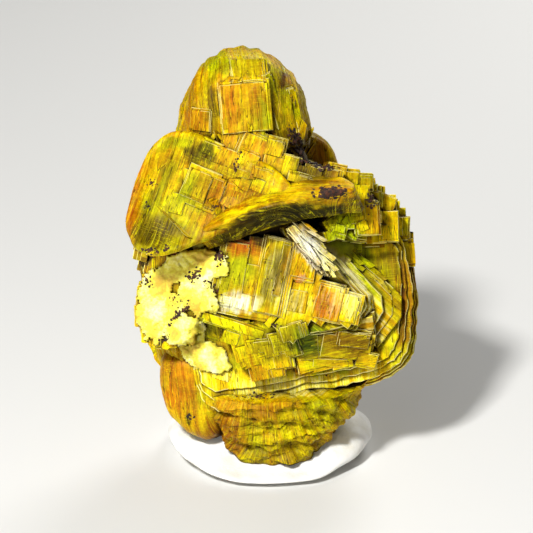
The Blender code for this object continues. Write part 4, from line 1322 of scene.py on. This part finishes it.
def own_tint(tree, mm, tint, colour):
    """Each sheet keeps a little of its own hue and depth of colour, with a mottle of 0.25 mm over it."""
    of_sheet = add(
        tree, "ShaderNodeMapRange", {"Value": tint, "To Min": 0.78, "To Max": 1.22}
    ).outputs["Result"]
    mottle = add(
        tree, "ShaderNodeTexNoise", {"Vector": mm, "Scale": 4.2, "Detail": 5.0, "Roughness": 0.72}
    ).outputs["Fac"]
    of_mottle = add(
        tree, "ShaderNodeMapRange",
        {"Value": mottle, "From Min": 0.36, "From Max": 0.62, "To Min": 0.7, "To Max": 1.1},
    ).outputs["Result"]
    depth = add(tree, "ShaderNodeMath", {0: of_sheet, 1: of_mottle}, operation="MULTIPLY").outputs[0]
    hue = add(tree, "ShaderNodeMapRange", {"Value": tint, "To Min": 0.489, "To Max": 0.514}).outputs["Result"]
    return add(
        tree, "ShaderNodeHueSaturation", {"Hue": hue, "Saturation": 1.22, "Value": depth, "Color": colour}
    ).outputs["Color"]


def rims_and_sides(tree, rim, coloured, colour):
    """Pale light on the broken rim of a sheet, and a brown shade on the side below it."""
    rim_share = add(
        tree, "ShaderNodeMapRange", {"Value": rim, "From Min": 0.55, "To Max": 0.9}
    ).outputs["Result"]
    pale = add(
        tree, "ShaderNodeMix", {0: 0.55, 6: coloured, 7: linear(RIM_LIGHT)}, data_type="RGBA"
    ).outputs[2]
    rimmed = add(tree, "ShaderNodeMix", {0: rim_share, 6: colour, 7: pale}, data_type="RGBA").outputs[2]
    side = add(tree, "ShaderNodeMath", {0: rim, 1: RIM_OF_SIDE, 2: 0.1}, operation="COMPARE").outputs[0]
    side_share = add(tree, "ShaderNodeMath", {0: side, 1: 0.5}, operation="MULTIPLY").outputs[0]
    return add(
        tree, "ShaderNodeMix", {0: side_share, 6: rimmed, 7: linear(SHEET_SIDE)}, data_type="RGBA"
    ).outputs[2]


def painted_gap_shade_and_rust_specks(tree, mm, colour):
    """Painted brown shade in gaps of 0.3 mm between sheets and 1.6 mm between books, and rust specks of 0.1
    mm.
    """
    # painted shade: ambient occlusion turns each gap towards dark brown
    for reach, start, end, most in ((0.0003, 0.9, 0.4, 0.95), (0.0016, 0.6, 0.15, 0.94)):
        occlusion = add(tree, "ShaderNodeAmbientOcclusion", {"Distance": reach}, samples=6).outputs["AO"]
        share = add(
            tree, "ShaderNodeMapRange", {"Value": occlusion, "From Min": start, "From Max": end, "To Max": most}
        ).outputs["Result"]
        colour = add(
            tree, "ShaderNodeMix", {0: share, 6: colour, 7: linear(PAINTED_GAP_SHADE)}, data_type="RGBA"
        ).outputs[2]
    speck = add(
        tree, "ShaderNodeTexVoronoi", {"Vector": mm, "Scale": 2.4, "Randomness": 1.0}
    ).outputs["Distance"]
    where = add(tree, "ShaderNodeTexNoise", {"Vector": mm, "Scale": 0.8, "Detail": 2.0}).outputs["Fac"]
    size = add(
        tree, "ShaderNodeMapRange",
        {"Value": where, "From Min": 0.5, "From Max": 0.75, "To Min": 0.0, "To Max": 0.16},
    ).outputs["Result"]
    specked = add(tree, "ShaderNodeMath", {0: speck, 1: size}, operation="LESS_THAN").outputs[0]
    return add(tree, "ShaderNodeMix", {0: specked, 6: colour, 7: linear(RUST)}, data_type="RGBA").outputs[2]


def cleaved_uranocircite(group):
    """Uranocircite, a micaceous barium uranyl phosphate, split along its cleavage: thin glassy sheets that
    let light in, so the faces glow yellow, olive and amber. Pale light is painted on the broken rims and
    brown shade in the gaps between books. Its striations and steps stand a few hundredths of a millimetre
    high."""
    material, tree = new_material("cleaved_uranocircite_of_" + group)
    mm = millimetres(tree)
    grain = add(tree, "ShaderNodeUVMap", uv_map="grain").outputs["UV"]
    tint = add(tree, "ShaderNodeAttribute", attribute_name="tint").outputs["Fac"]
    rim = add(tree, "ShaderNodeAttribute", attribute_name="rim").outputs["Fac"]
    coloured = ground_colour(tree, mm, group)

    # Three patterns drawn out along the grain, from half a millimetre apart down to a tenth.
    long_grain = add(
        tree, "ShaderNodeMapping", {"Vector": grain, "Scale": (1.0, 0.07, 1.0)}
    ).outputs["Vector"]
    bands = add(
        tree, "ShaderNodeTexNoise", {"Vector": long_grain, "Scale": 2.2, "Detail": 2.0, "Roughness": 0.5}
    ).outputs["Fac"]
    fine = add(
        tree, "ShaderNodeTexNoise", {"Vector": long_grain, "Scale": 6.0, "Detail": 1.0, "Roughness": 0.5}
    ).outputs["Fac"]
    streaks = add(
        tree, "ShaderNodeTexNoise", {"Vector": long_grain, "Scale": 7.0, "Detail": 4.0, "Roughness": 0.72}
    ).outputs["Fac"]

    colour = growth_bands(tree, bands, fine, coloured)
    colour = open_splits(tree, long_grain, colour)
    relief = add(tree, "ShaderNodeMath", {0: bands, 1: 0.5, 2: fine}, operation="MULTIPLY_ADD").outputs[0]
    colour, relief = cleavage_traces(tree, mm, grain, tint, colour, relief)
    streak_share = add(
        tree, "ShaderNodeMapRange",
        {"Value": streaks, "From Min": 0.6, "From Max": 0.36, "To Min": 0.0, "To Max": 0.95},
    ).outputs["Result"]
    colour = add(
        tree, "ShaderNodeMix",
        {0: streak_share, 6: colour, 7: coloured},
        data_type="RGBA", blend_type="MULTIPLY",
    ).outputs[2]
    colour = own_tint(tree, mm, tint, colour)
    colour = rims_and_sides(tree, rim, coloured, colour)
    # painted shade in the gaps, then rust specks
    colour = painted_gap_shade_and_rust_specks(tree, mm, colour)

    relief = add(tree, "ShaderNodeMath", {0: streaks, 1: 2.4, 2: relief}, operation="MULTIPLY_ADD").outputs[0]
    bump = add(
        tree, "ShaderNodeBump", {"Strength": 0.8, "Distance": 0.00003, "Height": relief}
    ).outputs["Normal"]
    gloss = add(
        tree, "ShaderNodeMapRange",
        {"Value": fine, "From Min": 0.3, "From Max": 0.7, "To Min": 0.32, "To Max": 0.58},
    ).outputs["Result"]
    shader = add(
        tree, "ShaderNodeBsdfPrincipled",
        {"Base Color": colour, "Roughness": gloss, "Normal": bump, "IOR": 1.61, "Subsurface Weight": 0.25,
         "Subsurface Radius": (1.0, 0.75, 0.12), "Subsurface Scale": 0.0004, "Specular IOR Level": 0.08},
    )
    add(tree, "ShaderNodeOutputMaterial", {"Surface": shader.outputs["BSDF"]})
    return material


def dress(piece, material, node):
    piece.data.materials.clear()
    piece.data.materials.append(material)
    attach(piece, "root")
    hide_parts(node)


def limonite():
    """Limonite, the earthy brown rust of iron, in matt sooty grains: the darkest marks on the crystals."""
    material, tree = new_material("earthy_limonite")
    mm = millimetres(tree)
    mottle = add(tree, "ShaderNodeTexNoise", {"Vector": mm, "Scale": 6.0, "Detail": 4.0}).outputs["Fac"]
    ramp = add(tree, "ShaderNodeValToRGB", {"Fac": mottle})
    set_stops(ramp, (0.4, "#150800"), (0.72, "#5b2c0a"))
    bump = add(
        tree, "ShaderNodeBump", {"Strength": 0.8, "Distance": 0.00003, "Height": mottle}
    ).outputs["Normal"]
    shader = add(
        tree, "ShaderNodeBsdfPrincipled",
        {"Base Color": ramp.outputs["Color"], "Roughness": 0.75, "Normal": bump},
    )
    add(tree, "ShaderNodeOutputMaterial", {"Surface": shader.outputs["BSDF"]})
    return material


def weathered_crust():
    """The chalky cream crust of weathered uranocircite: matt and granular, with painted amber shade in its
    hollows.
    """
    material, tree = new_material("chalky_uranocircite_crust")
    mm = millimetres(tree)
    grainy = add(
        tree, "ShaderNodeTexNoise", {"Vector": mm, "Scale": 7.0, "Detail": 5.0, "Roughness": 0.65}
    ).outputs["Fac"]
    broad = add(tree, "ShaderNodeTexNoise", {"Vector": mm, "Scale": 0.9, "Detail": 3.0}).outputs["Fac"]
    of_grains = add(tree, "ShaderNodeMath", {0: grainy, 1: 0.3}, operation="MULTIPLY").outputs[0]
    mottle = add(
        tree, "ShaderNodeMath", {0: broad, 1: 0.7, 2: of_grains}, operation="MULTIPLY_ADD"
    ).outputs[0]
    ramp = add(tree, "ShaderNodeValToRGB", {"Fac": mottle})
    set_stops(ramp, (0.38, "#c8a42c"), (0.64, "#f7f2b4"), ((0.49, "#e2d83c"),))
    # painted shade: ambient occlusion darkens the crust's hollows towards dark amber
    occlusion = add(tree, "ShaderNodeAmbientOcclusion", {"Distance": 0.0005}, samples=8).outputs["AO"]
    painted_shade_share = add(
        tree, "ShaderNodeMapRange", {"Value": occlusion, "From Min": 0.5, "From Max": 0.15, "To Max": 0.45}
    ).outputs["Result"]
    shaded_in_hollows = add(
        tree, "ShaderNodeMix",
        {0: painted_shade_share, 6: ramp.outputs["Color"], 7: linear("#8a5f10")},
        data_type="RGBA",
    ).outputs[2]
    bump = add(
        tree, "ShaderNodeBump", {"Strength": 0.7, "Distance": 0.00005, "Height": grainy}
    ).outputs["Normal"]
    shader = add(
        tree, "ShaderNodeBsdfPrincipled",
        {"Base Color": shaded_in_hollows, "Roughness": 0.62, "Normal": bump, "Subsurface Weight": 0.2,
         "Subsurface Radius": (1.0, 0.8, 0.3), "Subsurface Scale": 0.0002},
    )
    add(tree, "ShaderNodeOutputMaterial", {"Surface": shader.outputs["BSDF"]})
    return material


def mounting_tack():
    """White mineral tack, a soft butyl putty pressed on by finger: dull white, waxy, a little grubby."""
    material, tree = new_material("white_mineral_tack")
    mm = millimetres(tree)
    smear = add(
        tree, "ShaderNodeTexNoise", {"Vector": mm, "Scale": 0.8, "Detail": 5.0, "Roughness": 0.6}
    ).outputs["Fac"]
    skin = add(tree, "ShaderNodeTexNoise", {"Vector": mm, "Scale": 9.0, "Detail": 3.0}).outputs["Fac"]
    ramp = add(tree, "ShaderNodeValToRGB", {"Fac": smear})
    set_stops(ramp, (0.3, "#dedbd0"), (0.55, "#f1f0eb"))
    height = add(tree, "ShaderNodeMath", {0: smear, 1: 4.0, 2: skin}, operation="MULTIPLY_ADD").outputs[0]
    bump = add(
        tree, "ShaderNodeBump", {"Strength": 0.35, "Distance": 0.00006, "Height": height}
    ).outputs["Normal"]
    shader = add(
        tree, "ShaderNodeBsdfPrincipled",
        {"Base Color": ramp.outputs["Color"], "Roughness": 0.5, "Normal": bump, "Subsurface Weight": 0.3,
         "Subsurface Radius": (1.0, 0.9, 0.8), "Subsurface Scale": 0.0004},
    )
    add(tree, "ShaderNodeOutputMaterial", {"Surface": shader.outputs["BSDF"]})
    return material


# ---------------------------------------------------------------- grains, crust and putty

# Clumps of grains: middle across and height in the front view, half width, half height, turn, how many, and
# the size of a grain in millimetres.
Clump = namedtuple("Clump", "across height width tall turn count size")
CLUMPS = [
    Clump(3.1, 12.8, 0.7, 0.26, 4, 120, 0.1),
    Clump(5.2, 12.5, 0.3, 0.45, 0, 24, 0.07),
    Clump(2.6, 14.25, 0.9, 0.2, -16, 70, 0.085),
    Clump(1.5, 15.35, 0.3, 0.7, 22, 70, 0.1),
    Clump(-1.4, 14.3, 0.12, 0.5, -20, 10, 0.06),
    Clump(-5.6, 13.3, 0.25, 0.3, 30, 9, 0.06),
    Clump(-5.9, 12.3, 0.2, 0.4, 10, 8, 0.05),
    Clump(-5.7, 10.0, 0.45, 0.18, -12, 18, 0.07),
    Clump(-4.9, 10.1, 0.25, 0.15, 20, 12, 0.06),
    Clump(-2.3, 9.7, 0.3, 0.45, 15, 26, 0.09),
    Clump(-3.6, 8.8, 0.45, 0.3, 40, 26, 0.07),
    Clump(-2.8, 8.2, 0.5, 0.2, -30, 14, 0.06),
    Clump(-4.4, 7.6, 0.5, 0.4, 0, 12, 0.05),
    Clump(-4.3, 6.9, 0.55, 0.2, 35, 26, 0.085),
    Clump(-5.2, 5.6, 0.4, 0.2, 25, 16, 0.07),
    Clump(-6.0, 8.5, 0.25, 0.35, 0, 14, 0.08),
    Clump(0.4, 6.3, 0.25, 0.15, -10, 8, 0.06),
    Clump(-0.6, 2.7, 0.9, 0.15, 3, 22, 0.07),
    Clump(-3.9, 1.6, 0.2, 0.2, 0, 10, 0.07),
    Clump(-2.6, 12.1, 0.25, 0.15, 30, 8, 0.05),
]
GRAIN_SIZES = (0.35, 0.5, 0.6, 0.9, 1.2)  # each a share of its clump's size
GRAIN_SHAPES = 6


def on_surface(trees, across, height):
    """Where the eye's line to that place in the front view meets the crystals, and how they face there."""
    met = [tree.ray_cast(eye_line(across, height) * MM, -TO_EYE)[:2] for tree in trees]
    met = [(place, normal) for place, normal in met if place]
    return max(met, key=lambda m: m[0].dot(TO_EYE)) if met else (None, None)


def grain_shapes(rng):
    shapes = []
    for _ in range(GRAIN_SHAPES):
        obj = as_cut(bpy.ops.mesh.primitive_ico_sphere_add, subdivisions=1, radius=1.0)
        for vertex in obj.data.vertices:
            vertex.co *= rng.uniform(0.65, 1.2)
        shapes.append(obj.data.copy())
        bpy.data.objects.remove(obj)
    return shapes


def iron_oxide_grains(target):
    rng = random.Random(f"{SEED} grains")
    shapes, grains = grain_shapes(rng), []
    for clump in CLUMPS:
        turned = Matrix.Rotation(math.radians(clump.turn), 2)
        for _ in range(clump.count * 2):
            spot = turned @ Vector((rng.gauss(0, 0.5) * clump.width, rng.gauss(0, 0.5) * clump.tall))
            place, normal = on_surface(target, clump.across + spot.x, clump.height + spot.y)
            if place is None:
                continue
            size = clump.size * rng.choice(GRAIN_SIZES) * MM
            grain = bpy.data.objects.new("grain", rng.choice(shapes).copy())
            bpy.context.scene.collection.objects.link(grain)
            squash = Matrix.Diagonal((rng.uniform(0.7, 1.3), rng.uniform(0.7, 1.3), rng.uniform(0.4, 0.8), 1))
            spin = Matrix.Rotation(rng.uniform(0, 6.3), 4, "Z")
            lie = normal.to_track_quat("Z", "Y").to_matrix().to_4x4() @ spin
            sunk = Matrix.Translation(place + normal * size * 0.15)
            grain.data.transform(sunk @ lie @ squash @ Matrix.Scale(size, 4))
            grains.append(grain)
    return joined("iron_oxide_grains", grains)


def joined(name, objects):
    nothing_selected()
    for obj in objects:
        obj.select_set(True)
    bpy.context.view_layer.objects.active = objects[0]
    bpy.ops.object.join()
    obj = bpy.context.object
    obj.name = obj.data.name = name
    return obj


PUTTY_REACH = (5.22, 5.28)  # half the width and half the depth of the dab, in millimetres
PUTTY_PLACE = (0.1, -0.12)  # where its middle is on the shelf
PUTTY_WAIST, PUTTY_TOP = 0.85, 1.3  # how high its widest ring is, and how much higher its top
PUTTY_FRONT = 0.35  # how much of that height is left in front, where the foot presses it flat


def mounting_putty():
    """A dab of tack flattened on the shelf and squeezed up beside and behind the foot."""
    obj = as_cut(bpy.ops.mesh.primitive_uv_sphere_add, segments=128, ring_count=64, radius=1.0)
    for vertex in obj.data.vertices:
        x, y, z = vertex.co
        dent = noise.noise(Vector((x * 1.6, y * 1.6, z + 4.0)))
        pinch = noise.noise(Vector((x * 3.5, y * 3.5, z * 2 + 9.0)))
        reach = 1.0 + 0.04 * dent + 0.02 * pinch
        # 1 in front of the middle, where the foot presses, and 0 beside and behind it.
        ahead = min(1.0, max(0.0, -y * 1.5 - 0.25)) * math.exp(-((x - 0.05) * 1.25) ** 4)
        kept = 1.0 - (1.0 - PUTTY_FRONT) * ahead
        low = PUTTY_WAIST * (1.0 + max(-1.0, 1.4 * z))
        top = PUTTY_WAIST + (PUTTY_TOP + 0.35 * dent + 0.12 * pinch) * z
        across = x * PUTTY_REACH[0] * reach + PUTTY_PLACE[0]
        back = y * PUTTY_REACH[1] * reach + PUTTY_PLACE[1]
        vertex.co = Vector((across, back, (top if z > 0 else low) * kept)) * MM
    obj.name = obj.data.name = "mounting_tack"
    only(obj)
    bpy.ops.object.shade_smooth()
    kept_in_box(obj)
    return obj


CRUST_STEP = 0.07  # how fine the crust's mesh is, in millimetres
CRUST_SPAN = (-7.0, -1.4), (3.6, 10.8)  # from where to where its mesh reaches, across and up the front view
CRUST_CRUMB = 80  # a loose bit with fewer points than this is a stray crumb
CRUST_END = -0.15  # how far past the rim of its parts the crust goes on, under the faces of the books
CRUST_SUNK = -0.25  # how deep it lies there
CRUST_LEAP = 0.6  # a face that reaches further than this hangs over a gap between two books, and goes
CRUST_THICK = 0.12
# Middle across and height in the front view, half width, half height and turn of each part of the crust.
CRUST_PARTS = (
    (-3.6, 9.2, 2.0, 1.2, 8),
    (-5.4, 7.4, 1.2, 2.2, -5),
    (-3.5, 7.7, 1.3, 1.2, -15),
    (-4.2, 6.1, 1.4, 1.1, -30),
    (-3.0, 4.7, 1.4, 0.8, -20),
)


def share_of_crust(across, height):
    """1 in the middle of a part of the crust, 0 on its rim and below 0 past it."""
    inside = -1.0
    for mid_across, mid_height, wide, tall, turn in CRUST_PARTS:
        from_middle = Vector((across - mid_across, height - mid_height))
        local = Matrix.Rotation(-math.radians(turn), 2) @ from_middle
        inside = max(inside, 1.0 - Vector((local.x / wide, local.y / tall)).length)
    return inside


def rise_of_crust(across, height, inside):
    """How high the crust stands: in tilted chips with small curds, and sunk outside its ragged rim."""
    ragged = inside + 0.35 * noise.noise(Vector((across, height, 2.0)) * 1.7)
    ragged += 0.12 * noise.noise(Vector((across, height, 5.0)) * 6.0)
    if ragged <= 0.12 or inside <= 0.0:
        return CRUST_SUNK
    at = Vector((across, height * 1.3, 1.0)) * 2.4
    chip = noise.voronoi(at)[1][0]
    tilt = noise.noise_vector(chip * 3.7)
    curd = noise.voronoi(at * 2.6)[0][0]
    chips = 0.5 + 0.6 * noise.noise(chip * 5.3) + 0.7 * (at - chip).dot(tilt)
    return 0.16 + 0.2 * chips - 0.05 * curd


def cut_away(obj, kind, unwanted):
    """Deletes each point ("VERT") or edge ("EDGE") of a mesh that is unwanted."""
    only(obj)
    bpy.ops.object.mode_set(mode="EDIT")
    bpy.ops.mesh.select_mode(type=kind)
    bpy.ops.mesh.select_all(action="DESELECT")
    bpy.ops.object.mode_set(mode="OBJECT")
    for bit in obj.data.vertices if kind == "VERT" else obj.data.edges:
        bit.select = unwanted(bit)
    bpy.ops.object.mode_set(mode="EDIT")
    bpy.ops.mesh.delete(type=kind)
    bpy.ops.object.mode_set(mode="OBJECT")


def leaps(mesh, edge):
    """Whether an edge of the crust spans a gap between two books."""
    start, end = (mesh.vertices[k].co for k in edge.vertices)
    return (end - start).length > CRUST_LEAP * MM


def whole_bits(obj):
    """Takes a mesh apart into its loose bits and drops the crumbs."""
    bpy.ops.object.mode_set(mode="EDIT")
    bpy.ops.mesh.select_all(action="SELECT")
    bpy.ops.mesh.delete_loose()
    bpy.ops.mesh.separate(type="LOOSE")
    bpy.ops.object.mode_set(mode="OBJECT")
    bits = list(bpy.context.selected_objects)
    for crumb in [bit for bit in bits if len(bit.data.vertices) < CRUST_CRUMB]:
        bits.remove(crumb)
        bpy.data.objects.remove(crumb)
    return bits


def pale_crust(target):
    """A chalky crust that follows the crystals under it, in lumps like small curds."""
    (left, right), (low, high) = CRUST_SPAN
    columns, rows = round((right - left) / CRUST_STEP), round((high - low) / CRUST_STEP)
    obj = as_cut(bpy.ops.mesh.primitive_grid_add, x_subdivisions=columns, y_subdivisions=rows, size=1.0)
    gone = set()
    for vertex in obj.data.vertices:
        across = left + (vertex.co.x + 0.5) * (right - left)
        height = low + (vertex.co.y + 0.5) * (high - low)
        place = on_surface(target, across, height)[0]
        inside = share_of_crust(across, height)
        if place is None or inside < CRUST_END:
            gone.add(vertex.index)
            place = place or (Vector((across, 0, 0)) + UP_IN_VIEW * height) * MM
        vertex.co = place + TO_EYE * rise_of_crust(across, height, inside) * MM
    cut_away(obj, "VERT", lambda point: point.index in gone)
    cut_away(obj, "EDGE", lambda edge: leaps(obj.data, edge))
    obj = joined("pale_crust", whole_bits(obj))
    wall = obj.modifiers.new("wall", "SOLIDIFY")
    wall.thickness, wall.offset = CRUST_THICK * MM, -1.0
    only(obj)
    bpy.ops.object.modifier_apply(modifier=wall.name)
    bpy.ops.object.shade_smooth()
    kept_in_box(obj)
    return obj


# ---------------------------------------------------------------- the object

upper_books = [book for book in FRONT_BOOKS if book.name in UPPER_BOOKS]
lower_books = [book for book in FRONT_BOOKS if book.name in LOWER_BOOKS]
front_books = [book for book in FRONT_BOOKS if book not in upper_books + lower_books]
upper_blades = [blade for blade in BLADES if blade.height > BLADES_PART]
front_blades = [blade for blade in BLADES if blade.height < BLADES_PART]

upper_crystals = grown_together("upper_crystals", lump("upper"), upper_books, PLATES, upper_blades)
front_crystals = grown_together("front_crystals", lump("middle"), front_books, PLATES, front_blades)
lower_crystals = grown_together("lower_crystals", lump("foot"), lower_books, PLATES)
rear_crystals = grown_together("rear_crystals", lump("crown"), REAR_BOOKS)
for group in (upper_crystals, front_crystals, lower_crystals, rear_crystals):
    dress(group, cleaved_uranocircite(group.name), "crystal_cluster")

surfaces = [tree_of(group) for group in (front_crystals, lower_crystals, upper_crystals)]
crust = pale_crust(surfaces[:2])
grains = iron_oxide_grains(surfaces + [tree_of(crust)])
dress(crust, weathered_crust(), "crystal_cluster")
dress(grains, limonite(), "crystal_cluster")
dress(mounting_putty(), mounting_tack(), "mounting_putty")

# ---------------------------------------------------------------- floor, light and camera

FLOOR_SIZE, FLOOR_DROP = 4.0, 0.00002  # in metres; it lies just under the putty, in a plane of its own


def floor():
    """A pale matt board, wide enough to fill the view."""
    bpy.ops.mesh.primitive_plane_add(size=FLOOR_SIZE, location=(0, 0, -FLOOR_DROP))
    plane = bpy.context.object
    plane.name = "floor"
    material, tree = new_material("pale_matt_board")
    shader = add(tree, "ShaderNodeBsdfPrincipled", {"Base Color": linear("#d9d8d4"), "Roughness": 0.7})
    add(tree, "ShaderNodeOutputMaterial", {"Surface": shader.outputs["BSDF"]})
    plane.data.materials.append(material)


def aimed(obj, target):
    obj.rotation_mode = "QUATERNION"
    obj.rotation_quaternion = (target - obj.location).to_track_quat("-Z", "Y")


LAMPS_AIM = Vector((0, 0, 0.01))  # half way up the specimen


def lamp(name, place, size, watts):
    """A square soft box of white light."""
    light = bpy.data.lights.new(name, "AREA")
    light.size, light.energy = size, watts
    obj = bpy.data.objects.new(name, light)
    bpy.context.scene.collection.objects.link(obj)
    obj.location = place
    aimed(obj, LAMPS_AIM)


FIELD, DISTANCE = 0.0271, 0.150  # how wide the view is at the specimen, and how far off the camera stands
TARGET, ELEVATION = Vector((0.0, 0.0, 0.00995)), math.radians(22)  # it looks down at the specimen's middle
SENSOR = 36.0  # millimetres


def camera():
    lens = bpy.data.cameras.new("camera")
    lens.sensor_width, lens.lens = SENSOR, SENSOR * DISTANCE / FIELD
    lens.clip_start, lens.clip_end = 0.001, 10.0
    obj = bpy.data.objects.new("camera", lens)
    bpy.context.scene.collection.objects.link(obj)
    obj.location = TARGET + Vector((0, -math.cos(ELEVATION), math.sin(ELEVATION))) * DISTANCE
    aimed(obj, TARGET)
    bpy.context.scene.camera = obj


floor()
camera()
lamp("key", (-0.06, -0.11, 0.135), 0.02, 0.44)
lamp("fill", (-0.07, -0.12, 0.02), 0.05, 0.05)
lamp("rim", (0.06, 0.12, 0.10), 0.06, 0.14)
bpy.context.scene.view_settings.view_transform = "Standard"
world = bpy.data.worlds.new("studio")
world.use_nodes = True
world.node_tree.nodes["Background"].inputs["Color"].default_value = linear("#cfd2d6")
world.node_tree.nodes["Background"].inputs["Strength"].default_value = 0.08
bpy.context.scene.world = world
